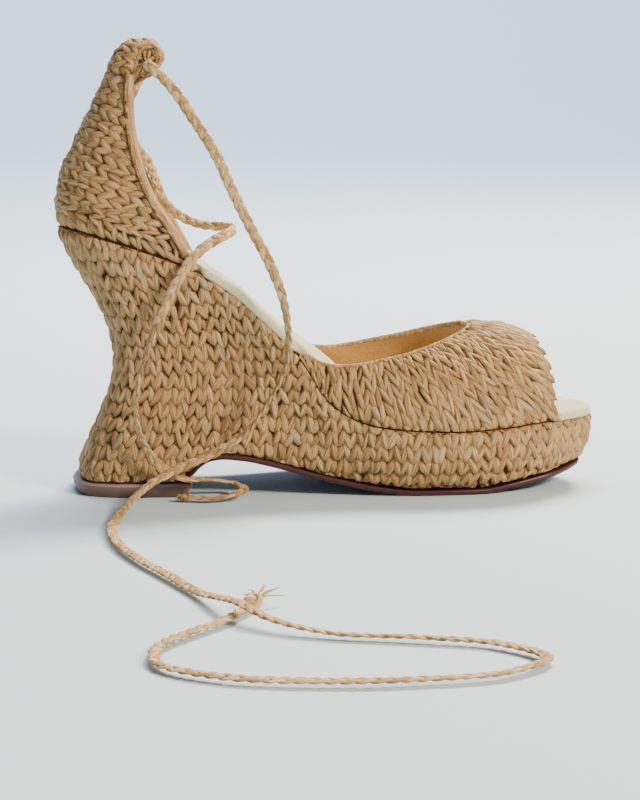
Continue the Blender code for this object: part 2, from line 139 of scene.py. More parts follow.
def smoothed(rings, times):
    """Closed outlines with each point moved half way to the mean of its neighbours, so many times."""
    for _ in range(times):
        rings = (np.roll(rings, 1, axis=-2) + 2 * rings + np.roll(rings, -1, axis=-2)) / 4
    return rings


def away_from(loop):
    """Unit plan directions out of a closed outline: its direction of travel, turned a quarter."""
    ahead = unit(np.roll(loop, -1, axis=0) - np.roll(loop, 1, axis=0))
    return np.stack([-ahead[:, 1], ahead[:, 0]], axis=1)


def slab(loop, middle, profile):
    """Rings of a flat piece from its top's middle to its underside's: each profile row draws the outline
    in by an inset, takes it a share of the way to the middle, and gives its height."""
    away = away_from(loop)
    rings = [(between(loop - away * inset, middle, share), height) for inset, share, height in profile]
    return np.stack([np.c_[ring, np.full(len(ring), height)] for ring, height in rings])


def quads(rows, columns, closed=False):
    """Faces of a grid of points, row by row; closed joins the last column to the first."""
    number = np.arange(rows * columns).reshape(rows, columns)
    if closed:
        number = np.concatenate([number, number[:, :1]], axis=1)
    corners = [number[:-1, :-1], number[:-1, 1:], number[1:, 1:], number[1:, :-1]]
    return np.stack(corners, axis=-1).reshape(-1, 4)


def linear(code):
    """Linear red, green and blue of an sRGB hex colour."""
    channel = np.array([int(code[k : k + 2], 16) for k in (1, 3, 5)]) / 255
    return np.where(channel <= 0.04045, channel / 12.92, ((channel + 0.055) / 1.055) ** 2.4)


def paint(code):
    """The same colour with full cover, as a socket takes it."""
    return (*linear(code), 1.0)


def add_material(name, **sockets):
    """A material with these values on its Principled shader; underscores stand for spaces."""
    material = bpy.data.materials.new(name)
    material.use_nodes = True
    for socket, value in sockets.items():
        material.node_tree.nodes["Principled BSDF"].inputs[socket.replace("_", " ")].default_value = value
    return material


def add_node(material, kind, settings, links):
    """Adds a shader node: settings are its properties or socket values and links the sources of its sockets,
    where "Object" is the piece's own coordinates. The kind "shader" is the material's Principled shader."""
    tree = material.node_tree
    node = tree.nodes["Principled BSDF"] if kind == "shader" else tree.nodes.new(kind)
    for name, value in settings.items():
        if isinstance(name, str) and hasattr(node, name):
            setattr(node, name, value)
        else:
            node.inputs[name].default_value = value
    for name, source in links.items():
        if source == "Object":
            source = tree.nodes.new("ShaderNodeTexCoord").outputs["Object"]
        tree.links.new(source, node.inputs[name])
    return node


def dress(material, dark, pale, shade, grain=None, strength=0.0, depth=0.0):
    """Colours a material between two shades and roughens it with bumps of a depth in millimetres, each by a
    node's output or by a noise with a grain's width, detail and roughness."""
    sources = [shade, grain]
    for place, source in enumerate(sources):
        if isinstance(source, tuple):
            width, detail, roughness = source
            settings = {"Scale": 1 / (width * MM), "Detail": detail, "Roughness": roughness}
            noise = add_node(material, "ShaderNodeTexNoise", settings, {"Vector": "Object"})
            sources[place] = noise.outputs["Fac"]
    settings = {"data_type": "RGBA", 6: paint(dark), 7: paint(pale)}
    links = {"Base Color": add_node(material, "ShaderNodeMix", settings, {0: sources[0]}).outputs[2]}
    if grain:
        bump = {"Strength": strength, "Distance": depth * MM}
        bumps = add_node(material, "ShaderNodeBump", bump, {"Height": sources[1]})
        links["Normal"] = bumps.outputs["Normal"]
    add_node(material, "shader", {}, links)


def add_object(name, data):
    """A new object in the scene for a mesh, a lamp or a camera."""
    thing = bpy.data.objects.new(name, data)
    bpy.context.scene.collection.objects.link(thing)
    return thing


def add_mesh(name, points, faces, material):
    """A smooth mesh object from points in metres."""
    mesh = bpy.data.meshes.new(name)
    mesh.from_pydata(np.reshape(points, (-1, 3)).tolist(), [], np.reshape(faces, (-1, 4)).tolist())
    mesh.shade_smooth()
    mesh.materials.append(material)
    return add_object(name, mesh)


def add_piece(name, points, faces, material, slot, node, **marks):
    """A piece that goes with the shoe, from points in millimetres; marks are values kept per point."""
    piece = add_mesh(name, (np.reshape(points, (-1, 3)) - (MIDDLE, 0, 0)) * MM, faces, material)
    for mark, values in marks.items():
        kind, field = ("FLOAT", "value") if np.ndim(values) == 1 else ("FLOAT_VECTOR", "vector")
        layer = piece.data.attributes.new(mark, kind, "POINT")
        layer.data.foreach_set(field, np.ravel(values).astype(np.float32))
    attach(piece, "root")
    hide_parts(node)
    return piece


def add_grid(name, grid, material, slot, node, closed=True, **marks):
    """A piece from a grid of points, which joins up round its columns where it is closed."""
    return add_piece(name, grid, quads(*grid.shape[:2], closed), material, slot, node, **marks)


# Moulded rubber: matt brown, with a painted highlight that makes the bevel paler, and a faint mould grain
# that is drawn coarser than it is so that it shows
rubber = add_material("moulded rubber", Roughness=0.5, Specular_IOR_Level=0.4)
rubbed = add_node(rubber, "ShaderNodeAttribute", {"attribute_name": "rubbed"}, {})
dress(rubber, "#5C463F", "#94796C", rubbed.outputs["Fac"], RUBBER_GRAIN, strength=0.25, depth=0.2)

lift_edge = BASE_EDGE.copy()
lift_edge[:2, 0] = LIFT_START, LIFT_CORNER
lift_turn = np.arccos(1 - 2 * (LIFT_FRONT - LIFT_START) / (BASE_EDGE[-1, 0] - LIFT_START)) / np.pi
lift_loop = smoothed(plan_loop(lift_edge, lift_turn, LIFT_POINTS), LIFT_SMOOTH)
lift_rings = slab(lift_loop, LIFT_CENTRE, LIFT_PROFILE[:, :3])
at_front = lift_rings[..., 0] > LIFT_FRONT - LIFT_SLANT_REACH
lift_rings[..., 0] -= LIFT_SLANT * at_front * (1 - lift_rings[..., 2] / LIFT_HEIGHT)
# How much painted highlight each ring of the profile gets, the most on the bevel
lift_rubbed = np.repeat(LIFT_PROFILE[:, 3], LIFT_POINTS)
add_grid("heel_lift_rubber", lift_rings, rubber, "lift", "heel_lift", rubbed=lift_rubbed)

# Outsole
# A thin leather sole, stained dark oxblood and polished at the edge, cemented under the whole wedge from
# the heel over the arch to the toe.

OUTSOLE_POINTS = 420
OUTSOLE_HIDDEN = 1.3
OUTSOLE_SHOWS = (50.0, 56.0)
SPINE_REACH = 26.0
SOLE_GRAIN = (2.381, 5.0, 0.5)
OUTSOLE_PROFILE = [
    # inset from the edge, share of the way to the middle, height
    (0, 1, 2.5), (0, 0.5, 2.5), (0.5, 0, 2.5), (-0.2, 0, 2.3), (-0.5, 0, 1.8), (-0.55, 0, 1.1),
    (-0.3, 0, 0.35), (0.3, 0, 0), (3, 0, 0), (0, 0.5, 0), (0, 1, 0),
]

# Height of the outsole's underside: on the lift, over the arch, on the floor, up at the toe
UNDERSIDE = np.array([
    # along, height
    (6, 6.3), (50, 6.3), (55, 9.2), (59, 13.2), (63, 15.4), (68, 16.1), (76, 15.4), (87, 13.1),
    (98, 10.1), (108, 7.3), (118, 4.9), (134, 1.7), (150, 0), (177, 0), (189, 1.8), (202, 4.1),
    (213, 6.2), (223, 8.8),
])


def level(table, column, along):
    """A column of a table at places along the shoe, on the smooth curve through it."""
    return through(table[:, 0], table[:, column], along)


def spine(edge, loop):
    """For each point of an outline, a point on the piece's middle line, stopping short of both ends."""
    along = np.clip(loop[:, 0], loop[:, 0].min() + SPINE_REACH, loop[:, 0].max() - SPINE_REACH)
    return np.c_[along, np.interp(along, edge[:, 0], (edge[:, 1] + edge[:, 2]) / 2)]


# Stained sole leather: nearly black red, half polished, with a fine even grain
sole_leather = add_material("stained sole leather", Roughness=0.4)
dress(sole_leather, "#2C0C0E", "#4A171A", SOLE_GRAIN, SOLE_GRAIN, strength=0.2, depth=0.2)

sole_loop = plan_loop(BASE_EDGE, 1.0, OUTSOLE_POINTS)
shows = np.clip((sole_loop[:, :1] - OUTSOLE_SHOWS[0]) / (OUTSOLE_SHOWS[1] - OUTSOLE_SHOWS[0]), 0, 1)
sole_loop = sole_loop - OUTSOLE_HIDDEN * (1 - shows) * away_from(sole_loop)
sole_rings = slab(sole_loop, spine(BASE_EDGE, sole_loop), OUTSOLE_PROFILE)
sole_rings[..., 2] += level(UNDERSIDE, 1, sole_rings[..., 0])
add_grid("outsole_leather", sole_rings, sole_leather, "outsole", "outsole")

# Wedge
# A light shaped block with an hourglass heel, wrapped in a fabric of raffia stitches. Each stitch is a V
# of two plump leaves of raffia; a dark ground, its brown partly painted shade, shows between them.
# Rows run level round the shoe.

GAP = 0.3
OUTSOLE_THICKNESS = 2.5
WAIST_BACK = 19.2
WAIST_REACH = 150.0
WAIST_SIDE = 0.17
WAIST_POWER = 1.5
WAIST_FADE = (40.0, 112.0)
CURL_POWER = 2.8
CURL_FADE = (60.0, 150.0)
HEEL_WRAP = 2.3
HEEL_WRAP_FADE = (46.0, 56.0)

# Plan of the wedge's top edge, the feather line that the upper stands on
TOP_EDGE = np.array([
    # along, inner side, outer side
    (0, 0, 0), (8, -18.5, 18.5), (20, -25.5, 25.5), (36, -28.3, 28.3), (62, -29, 30), (92, -30.6, 34),
    (122, -35.2, 39.6), (146, -40.2, 41.5), (162, -41.5, 40.8), (184, -39.6, 36.2), (204, -33.8, 26.5),
    (218, -24.6, 12.5), (228, -8, -8),
])

# Height of the wedge's top, in the middle where the insole lies and at the rim
TOP_LEVELS = np.array([
    # along, seat, rim
    (0, 113, 113), (8, 111.8, 111.8), (20, 108.7, 108.7), (35, 104.2, 104.2), (47, 99.9, 99.9),
    (58, 95.1, 95.1), (72, 86.4, 86.4), (84, 75.7, 75.7), (96, 64.2, 64.2), (100, 60.5, 59.4),
    (104, 56.8, 53), (110, 51.3, 43.2), (116, 45.7, 37.2), (123, 39.5, 33), (131, 34.4, 30.5),
    (140, 31.1, 29.2), (152, 29, 28.5), (168, 28.1, 28.1), (186, 28.9, 28.9), (206, 30.3, 30.3),
    (228, 30, 30),
])

STITCH_PITCH = 5.4
STITCH_ROW = 6.0
STITCH_SIZES = (0.7, 1.6)
STITCH_EDGE = (0.004, 0.996)
PITCH_LINE = 0.3
FIRST_ROW = 25.3
WEDGE_ROWS = (-5, 16)
SPARE = 4.4
LEAF_LENGTH = 9.6
LEAF_WIDTH = 3.75
LEAF_LEAN = np.radians(20.0)
LEAF_LOW = -1.05
LEAF_RISE = 1.4
LEAF_ROLL = 0.12
LEAF_RIDE = 0.25
LEAF_SIDEWAYS = 1.1
LEAF_ROWS = 7
LEAF_COLUMNS = 5
# A leaf's outline, its dome and the painted shade at its ends and sides: strengths and powers of the formulas
LEAF_OUTLINE = (2.6, 0.97, 0.65)
LEAF_DOME = (3.2, 4, 0.7)
LEAF_DARK = (0.7, 0.45, 4)
LEAF_TONE = 0.5
# How far one leaf differs from the next: angles in radians, places in millimetres, the rest as shares
LEAF_VARIES = dict(
    veer=0.07, length=0.09, width=0.1, lean=0.1, slip=0.35, bend=0.32,
    shift=0.12, roll=0.2, rise=0.16, tone=0.16
)
EDGE_DROOP = 1.1
EDGE_ROUND = 2.2
GROUND_DEPTH = 1.4
GROUND_GRID = (360, 41)
GROUND_LOW = 0.2
GROUND_INSIDE = (0.002, 0.998)
CLOTH_WEAVE = (1.429, 2.0, 0.5)
FIBRE_LENGTH = 10.0
FIBRE_WIDTH = 0.667
FIBRE_APART = 90
RAFFIA_DARK = linear("#9C7443")
RAFFIA_PALE = linear("#D0A974")
RAFFIA_PINK = linear("#B07E5F")
RAFFIA_GREY = linear("#BFAE8C")
# Deep brown that painted shade darkens the raffia towards: where leaves overlap, in edging grooves, in the
# tunnel
RAFFIA_PAINTED_SHADE = linear("#4E2F14")
PINK_LEAVES, PINK_SHARE = 0.06, 0.35
GREY_LEAVES, GREY_SHARE = 0.02, 0.4


def ease(at, start, end):
    """0 before the start, 1 after the end, and a smooth rise between them."""
    part = np.clip((at - start) / (end - start), 0, 1)
    return part * part * (3 - 2 * part)


def wedge_edges(way):
    """Along, across and height of the rim, then of the foot, at a way round the wedge: -1 is the toe, going
    down the inner side to the heel's back at 0, and on by the outer side to the toe again at 1."""
    way = (way + 1) % 2 - 1
    turn = np.abs(way)
    top_along, *top = plan(TOP_EDGE, turn)
    base_along, *base = plan(BASE_EDGE, turn)
    rim = level(TOP_LEVELS, 2, top_along)
    wrap = HEEL_WRAP * (1 - ease(base_along, *HEEL_WRAP_FADE))
    foot = level(UNDERSIDE, 1, base_along) + OUTSOLE_THICKNESS + GAP - wrap
    return top_along, np.where(way < 0, *top), rim, base_along, np.where(way < 0, *base), foot


def wedge_side(way, down):
    """The wedge's side from the rim (down 0) to the sole (down 1): straight between the two edges at the
    heel and curling in under the forefoot, with the heel drawn in half way up like an hourglass."""
    top_along, top_across, rim, base_along, base_across, foot = wedge_edges(way)
    down = np.clip(down, 0, 1)
    lean = down ** between(1, CURL_POWER, ease(top_along, *CURL_FADE))
    drawn = np.sin(np.pi * down) ** WAIST_POWER
    forward = WAIST_BACK * np.clip(1 - top_along / WAIST_REACH, 0, 1) ** 2
    narrow = WAIST_SIDE * (1 - ease(top_along, *WAIST_FADE))
    along = between(top_along, base_along, lean) + forward * drawn
    across = between(top_across, base_across, lean) * (1 - narrow * drawn)
    return np.stack([along, across, between(rim, foot, down)], axis=-1)


def tangents(surface, u, v, outward):
    """Rates of change of a surface along its two parameters, and its unit normal."""
    small = 1e-3
    by_u = (surface(u + small, v) - surface(u - small, v)) / (2 * small)
    by_v = (surface(u, v + small) - surface(u, v - small)) / (2 * small)
    return by_u, by_v, unit(outward * np.cross(by_u, by_v))


def stitches(surface, u, v, gap, edge, outward, seed, lean=LEAF_LEAN, slim=1.0):
    """Raffia stitches at places (u, v) of a surface, in columns that run along v and stand a gap in u
    apart. A stitch is a V of two leaves; a leaf is a pointed oval ribbon, domed across and along and
    rolled a little to one side, and its far end rides over the leaf behind it. Leaves sink and are cut
    off where v leaves the edge's range; slim makes them longer and narrower. Returns points, colours
    and fibre coordinates."""
    dice = np.random.default_rng(seed)
    u, v, gap = (np.reshape(part, (-1, 1, 1)) for part in (u, v, gap))

    def vary(what):
        """A random amount for each leaf, with the spread that the table gives."""
        return dice.normal(0, LEAF_VARIES[what], u.shape)

    inside = np.clip(v, *edge)
    by_u, by_v, normal = tangents(surface, u, inside, outward)
    stretch = np.linalg.norm(by_v, axis=-1)
    straight = by_v / stretch[..., None]
    level_way = np.cross(normal, straight)
    past = ((v - inside) * stretch)[..., None] * straight
    size = np.clip(np.abs(np.sum(by_u * level_way, axis=-1)) * gap / STITCH_PITCH, *STITCH_SIZES)
    veer = vary("veer")[..., None]
    onward = np.cos(veer) * straight + np.sin(veer) * level_way
    beside = np.cross(normal, onward)
    uu, uv, vv = (np.sum(a * b, axis=-1) for a, b in ((by_u, by_u), (by_u, by_v), (by_v, by_v)))
    share = uu * vv - uv**2
    alpha = np.linspace(-1, 1, LEAF_ROWS)[:, None]
    beta = np.linspace(1, -1, LEAF_COLUMNS)
    taper, narrowed, plump = LEAF_OUTLINE
    oval = (1 - np.abs(alpha) ** taper * narrowed) ** plump
    # Painted shade: each leaf is darker towards its ends and sides, where the leaves overlap
    end_dark, side_dark, power = LEAF_DARK
    root = np.clip(end_dark * np.abs(alpha) ** power + side_dark * np.abs(beta) ** power, 0, 1)[..., None]
    lengthwise, across, crown = LEAF_DOME
    points, tints, fibres = [], [], []
    for leg in (-1, 1):
        length = LEAF_LENGTH * slim * (1 + vary("length"))
        width = LEAF_WIDTH * size / slim * (1 + vary("width"))
        slope = -leg * (lean + vary("lean"))[..., None]
        axis = np.cos(slope) * onward + np.sin(slope) * beside
        a = length / 2 * alpha + vary("slip")
        b = width / 2 * beta * oval + vary("bend") * (1 - alpha**2)
        shift = leg * size * STITCH_PITCH / 4 + vary("shift")
        move = past + shift[..., None] * beside
        move = move + a[..., None] * axis + b[..., None] * np.cross(normal, axis)
        on_u, on_v = np.sum(move * by_u, axis=-1), np.sum(move * by_v, axis=-1)
        sideways = (vv * on_u - uv * on_v) / share
        at_u = u + np.clip(sideways, -LEAF_SIDEWAYS * gap, LEAF_SIDEWAYS * gap)
        at_v = inside + (uu * on_v - uv * on_u) / share
        to_edge = np.minimum(at_v - edge[0], edge[1] - at_v) * stretch
        droop = EDGE_DROOP * np.clip(1 - to_edge / EDGE_ROUND, 0, 1) ** 2
        roll = LEAF_ROLL * leg + vary("roll")
        rise = LEAF_RISE * (1 + vary("rise"))
        dome = (1 - np.abs(alpha) ** lengthwise) * (rise * (1 - beta**across) ** crown + roll * beta)
        height = LEAF_LOW + dome + LEAF_RIDE * alpha - droop
        points.append(surface(at_u, at_v) + height[..., None] * normal)
        tint = between(RAFFIA_DARK, RAFFIA_PALE, np.clip(LEAF_TONE + vary("tone"), 0, 1)[..., None])
        luck = dice.random(u.shape)[..., None]
        tint = np.where(luck < PINK_LEAVES, between(tint, RAFFIA_PINK, PINK_SHARE), tint)
        tint = np.where(luck > 1 - GREY_LEAVES, between(tint, RAFFIA_GREY, GREY_SHARE), tint)
        # The leaf's tone, darkened by painted shade at its ends and sides
        tints.append(between(tint, RAFFIA_PAINTED_SHADE, root))
        seeds = dice.random(u.shape) * FIBRE_APART
        fibres.append(np.stack(np.broadcast_arrays(a, b, seeds), axis=-1))
    return np.concatenate(points), np.concatenate(tints), np.concatenate(fibres)


def add_stitches(name, node, *batches):
    """One mesh of all the leaves from batches of stitches."""
    points, tints, fibres = (np.concatenate(part) for part in zip(*batches))
    leaf = quads(LEAF_ROWS, LEAF_COLUMNS)
    faces = leaf + np.arange(len(points))[:, None, None] * (LEAF_ROWS * LEAF_COLUMNS)
    return add_piece(name, points, faces, raffia, "raffia", node, tint=tints, fibre=fibres)


# Raffia: dry palm leaf, satin, each strand a shade of straw with fibres along it, drawn about twice as
# coarse as they are so that the picture can hold them
raffia = add_material("raffia", Roughness=0.62, Specular_IOR_Level=0.22)
# The tint holds each strand's own tone together with the painted shade at overlaps, grooves and hollows
tint = add_node(raffia, "ShaderNodeAttribute", {"attribute_name": "tint"}, {})
fibre = add_node(raffia, "ShaderNodeAttribute", {"attribute_name": "fibre"}, {})
fibre_scale = {"Scale": (1 / FIBRE_LENGTH, 1 / FIBRE_WIDTH, 1.0)}
stretched = add_node(raffia, "ShaderNodeMapping", fibre_scale, {"Vector": fibre.outputs["Vector"]})
along_fibre = {"Vector": stretched.outputs["Vector"]}
streak = add_node(raffia, "ShaderNodeTexNoise", {"Scale": 1.0, "Detail": 3.0}, along_fibre).outputs["Fac"]
shades = {"From Min": 0.32, "From Max": 0.68, "To Min": 0.52, "To Max": 1.22}
shade = add_node(raffia, "ShaderNodeMapRange", shades, {"Value": streak})
shaded = {"data_type": "RGBA", "blend_type": "MULTIPLY", 0: 1.0}
colours = {6: tint.outputs["Color"], 7: shade.outputs["Result"]}
colour = add_node(raffia, "ShaderNodeMix", shaded, colours)
relief = {"Strength": 0.9, "Distance": 0.8 * MM}
bump = add_node(raffia, "ShaderNodeBump", relief, {"Height": streak})
add_node(raffia, "shader", {}, {"Base Color": colour.outputs[2], "Normal": bump.outputs["Normal"]})

# Ground cloth: dark brown backing, seen only in the gaps between the leaves; its dark brown is partly its
# own colour and partly painted shade for the gaps
ground_cloth = add_material("ground cloth", Roughness=0.95, Specular_IOR_Level=0.1)
dress(ground_cloth, "#3A2411", "#5C3C1E", CLOTH_WEAVE)

ground_way, ground_down = np.meshgrid(
    np.linspace(-1, 1, GROUND_GRID[0], endpoint=False), np.linspace(0, 1, GROUND_GRID[1])
)
ground_normal = tangents(wedge_side, ground_way, np.clip(ground_down, *GROUND_INSIDE), 1.0)[2]
ground = wedge_side(ground_way, ground_down) - GROUND_DEPTH * ground_normal
rim_along = np.clip(ground[0, :, 0], TOP_EDGE[0, 0], TOP_EDGE[-1, 0])
seat_ring = np.c_[ground[0, :, :2], level(TOP_LEVELS, 2, rim_along) - GROUND_LOW]
middle_ring = spine(TOP_EDGE, ground[0, :, :2])
middle_ring = np.c_[middle_ring, level(TOP_LEVELS, 1, middle_ring[:, 0]) - GROUND_LOW]
base_ring = spine(BASE_EDGE, ground[-1, :, :2])
base_ring = np.c_[base_ring, level(UNDERSIDE, 1, base_ring[:, 0]) + OUTSOLE_THICKNESS + GAP]
wedge_rows = np.concatenate([middle_ring[None], seat_ring[None], ground, base_ring[None]])
add_grid("wedge_ground", wedge_rows, ground_cloth, "raffia", "wedge")


def even_places(line, places, pitch):
    """Places an even pitch apart along a line of points, and the step between neighbours."""
    run = distances(line)
    count = int(round(run[-1] / pitch))
    even = np.interp((np.arange(count) + 0.5) / count * run[-1], run, places)
    return even, np.gradient(even)


def wedge_stitches():
    """Places for the wedge's stitches: columns at an even pitch round the block and level rows, with a
    row to spare past the rim and past the foot for the leaves that are cut off there."""
    fine = np.linspace(-1, 1, 4001)
    way, gap = even_places(wedge_side(fine, PITCH_LINE)[:, :2], fine, STITCH_PITCH)
    _, _, rim, _, _, foot = wedge_edges(way)
    height = FIRST_ROW + STITCH_ROW * np.arange(*WEDGE_ROWS)[:, None]
    down = (rim - height) / (rim - foot)
    spare = SPARE / (rim - foot)
    kept = (down > -spare) & (down < 1 + spare)
    return [np.broadcast_to(part, down.shape)[kept] for part in (way, down, gap)]


add_stitches("wedge_raffia", "wedge", stitches(wedge_side, *wedge_stitches(), STITCH_EDGE, 1.0, seed=11))

# Insole
# A padded footbed of ivory lining leather on a thin foam, cemented on the wedge's top. Its soft rounded
# edge is bare at the waist and at the toe and runs inside the upper elsewhere.

INSOLE_POINTS = 420
INSOLE_THICKNESS = 4.1
INSOLE_CUT_BACK = 4.6
INSOLE_FLUSH = 0.3
INSOLE_SMOOTH = 6
INSOLE_SHOULDER = slice(4, 8)
INSOLE_WAIST = (58.3, 61.5, 97.0, 100.3)
INSOLE_TOE = (208.5, 211.5)
INSOLE_OUTER_SHIFT = (2.5, -6.0)
INSOLE_DIP = 4.4
INSOLE_DIP_POWER = 1.3
INSOLE_DIP_ALONG = (48.0, 70.0, 88.0, 118.0)
LEATHER_CAST = (18.18, 2.0, 0.5)
LEATHER_PORES = (0.667, 2.0, 0.5)
INSOLE_PROFILE = [
    # inset from the edge, share of the way to the middle, height as a share of the thickness
    (0, 1, 1.03), (0, 0.75, 1.03), (0, 0.5, 1.03), (0, 0.3, 1.02), (3.4, 0, 1.01), (2.2, 0, 0.99),
    (1.3, 0, 0.93), (0.6, 0, 0.82), (0.15, 0, 0.64), (0, 0, 0.42), (0.1, 0, 0.18), (0.5, 0, 0), (4, 0, 0),
    (0, 1, 0),
]

# Lining leather: smooth ivory with a faint green cast, soft sheen, fine pores drawn coarser so that they show
lining_leather = add_material("ivory lining leather", Roughness=0.5, Specular_IOR_Level=0.4)
dress(lining_leather, "#C1BA8D", "#D2C9A5", LEATHER_CAST, LEATHER_PORES, strength=0.12, depth=0.2)


def insole_outline():
    """The footbed's outline: the wedge's own edge where the insole is bare, drawn in under the upper."""
    loop = plan_loop(TOP_EDGE, 1.0, INSOLE_POINTS)
    outer = loop[:, 1] > np.interp(loop[:, 0], TOP_EDGE[:, 0], (TOP_EDGE[:, 1] + TOP_EDGE[:, 2]) / 2)
    start, full, last, end = INSOLE_WAIST
    at_vamp, at_toe = (loop[:, 0] - shift * outer for shift in INSOLE_OUTER_SHIFT)
    bare = ease(loop[:, 0], start, full) * (1 - ease(at_vamp, last, end)) + ease(at_toe, *INSOLE_TOE)
    return loop - away_from(loop) * between(INSOLE_CUT_BACK, INSOLE_FLUSH, bare)[:, None]


insole_loop = insole_outline()
insole_rings = slab(insole_loop, spine(TOP_EDGE, insole_loop), INSOLE_PROFILE)
# The rounded shoulder runs on smoothly where the outline steps in under the upper
insole_rings[INSOLE_SHOULDER, :, :2] = smoothed(insole_rings[INSOLE_SHOULDER, :, :2], INSOLE_SMOOTH)
insole_along = np.clip(insole_rings[..., 0], TOP_EDGE[0, 0] + 1, TOP_EDGE[-1, 0] - 1)
seat_slope = (level(TOP_LEVELS, 1, insole_along + 1) - level(TOP_LEVELS, 1, insole_along - 1)) / 2
insole_height = insole_rings[..., 2] * INSOLE_THICKNESS * np.sqrt(1 + seat_slope**2)
# At the waist the arch side stands higher and the bed dips towards the outer side
inner_reach, outer_reach = (np.interp(insole_along, TOP_EDGE[:, 0], TOP_EDGE[:, k]) for k in (1, 2))
across_share = np.clip((insole_rings[..., 1] - inner_reach) / (outer_reach - inner_reach), 0, 1)
dip = ease(insole_along, *INSOLE_DIP_ALONG[:2]) * (1 - ease(insole_along, *INSOLE_DIP_ALONG[2:]))
insole_rings[..., 2] = level(TOP_LEVELS, 1, insole_along) + GAP + insole_height
insole_rings[..., 2] -= INSOLE_DIP * dip * across_share**INSOLE_DIP_POWER
insole = add_grid("insole_pad", insole_rings, lining_leather, "insole", "insole")

# Vamp
# The peep-toe front upper: a band of the same raffia fabric over the forefoot, backed with a tan suede
# lining turned to the edges, its lower edge let into the rim of the wedge.

UPPER_SET_IN = 0.7
UPPER_GAP = 0.7
VAMP_ROUND = 2.4
VAMP_BACK = (100.5, 103.0)
VAMP_THROAT = 175.0
VAMP_THROAT_POWER = 1.4
VAMP_TOE = (208.0, 202.0)
VAMP_TOE_CREST = 201.0
VAMP_TOE_POWER = 7.0
VAMP_GRID = (121, 49)
LINING_DEPTH = 2.4
EDGE_DEPTH = 1.3
EDGE_HALF = (0.8, 1.25)
EDGE_WRAP = 2.4
EDGE_STEP = 0.5
# A wrap of an edging: how far it sinks, swells and rounds, its tone and spread, and the strength and
# roundness of the painted shade in the grooves between wraps
WRAP_SWELL = (0.16, 0.2, 0.6)
WRAP_TONE = (0.6, 0.25)
WRAP_DARK = (0.6, 0.4)
WRAP_FIBRE = 0.9
TUCK = 3.0
VAMP_FIRST_ROW = 2.8
VAMP_ROWS = (-1, 11)
VAMP_SHORTEST = 2.0
VAMP_LEAN = np.radians(14.0)
VAMP_SLIM = 1.2
FRINGE_BACK = 2.0
FRINGE_FLARE = 0.45
FRINGE_STEP = 0.04
FRINGE_EDGE = (0.004, 1.4)
SUEDE_MOTTLE = (1.333, 4.0, 0.75)
SUEDE_NAP = (0.714, 2.0, 0.5)

# Height of the forefoot's form along its crest
CREST = np.array([
    # along, height
    (100, 99), (116, 84.5), (130, 76.5), (150, 70.8), (165, 69.7), (176, 69.4), (184, 69.2), (190, 68.5),
    (197, 66.6), (203, 63), (210, 56.8),
])

# How the stitch columns fan: from a place on the throat to a place on the lower edge or the toe's edge
FAN = np.array([
    # degrees up the throat, share along the lower edge, degrees up the toe's edge
    (0, 0, 0), (22.6, 0.2, 0), (45.6, 0.58, 0), (58.4, 0.85, 0), (67.3, 1, 0), (74, 1, 30), (82, 1, 60),
    (90, 1, 90),
])
FAN_TOE = FAN[4, 0]


def throat_and_toe(girth):
    """Along-places of the vamp's back and front edges, at an angle up from the inner side."""
    outer_share = (1 - np.cos(girth)) / 2
    rise = np.clip(np.sin(girth), 0, 1)
    throat = between(between(*VAMP_BACK, outer_share), VAMP_THROAT, rise**VAMP_THROAT_POWER)
    toe = between(between(*VAMP_TOE, outer_share), VAMP_TOE_CREST, rise**VAMP_TOE_POWER)
    return throat, toe


def reach_at(along):
    """Inner and outer reach of the wedge's top edge at places along the shoe."""
    return plan(TOP_EDGE, np.arccos(np.clip(1 - along / MIDDLE, -1, 1)) / np.pi)[1:]


def vamp_form(girth, along):
    """The forefoot's form: a rounded arch across the shoe from rim to rim, as high as the crest."""
    girth = np.clip(girth, 0, np.pi)
    inner, outer = reach_at(along)
    half = (outer - inner) / 2 - UPPER_SET_IN
    rim = level(TOP_LEVELS, 2, along) + UPPER_GAP
    rise = np.clip(np.sin(girth), 0, 1) ** (2 / VAMP_ROUND)
    turned = np.sign(np.cos(girth)) * np.abs(np.cos(girth)) ** (2 / VAMP_ROUND)
    up = between(rim, level(CREST, 1, along), rise)
    return np.stack([along, (inner + outer) / 2 - half * turned, up], axis=-1)


def vamp_fan(start, onward):
    """The same form by fan lines: start runs round the throat from the inner side (0) to the outer (1),
    and onward along each line from the throat (0) to the lower edge or the toe's edge (1)."""
    start = np.clip(start, 0.0, 1.0)
    onward = np.clip(onward, 0.0, 1.0)
    up_throat = 180 * np.minimum(start, 1 - start)
    share = np.interp(up_throat, FAN[:, 0], FAN[:, 1])
    up_toe = np.radians(np.interp(up_throat, FAN[:, 0], FAN[:, 2]))
    first = np.pi * start
    last = np.where(start < 0.5, up_toe, np.pi - up_toe)
    throat = throat_and_toe(first)[0]
    end = between(*throat_and_toe(last), share)
    return vamp_form(between(first, last, onward), between(throat, end, onward))


def facing_of(grid):
    """Unit directions out of a grid of points: its columns crossed with its rows."""
    return unit(np.cross(np.gradient(grid, axis=1), np.gradient(grid, axis=0)))


def set_back(grid, depth):
    """A grid of points moved in by a depth."""
    return grid - depth * facing_of(grid)


def rolled_edge(line, facing, half_across, half_through, sides):
    """An oval cord along a line: half_through is its reach along the facing direction."""
    beside = unit(np.cross(facing, unit(np.gradient(line, axis=0))))[:, None]
    round_it = np.linspace(0, 2 * np.pi, sides, endpoint=False)[None, :, None]
    oval = half_across * np.cos(round_it) * beside + half_through * np.sin(round_it) * facing[:, None]
    return line[:, None] + oval


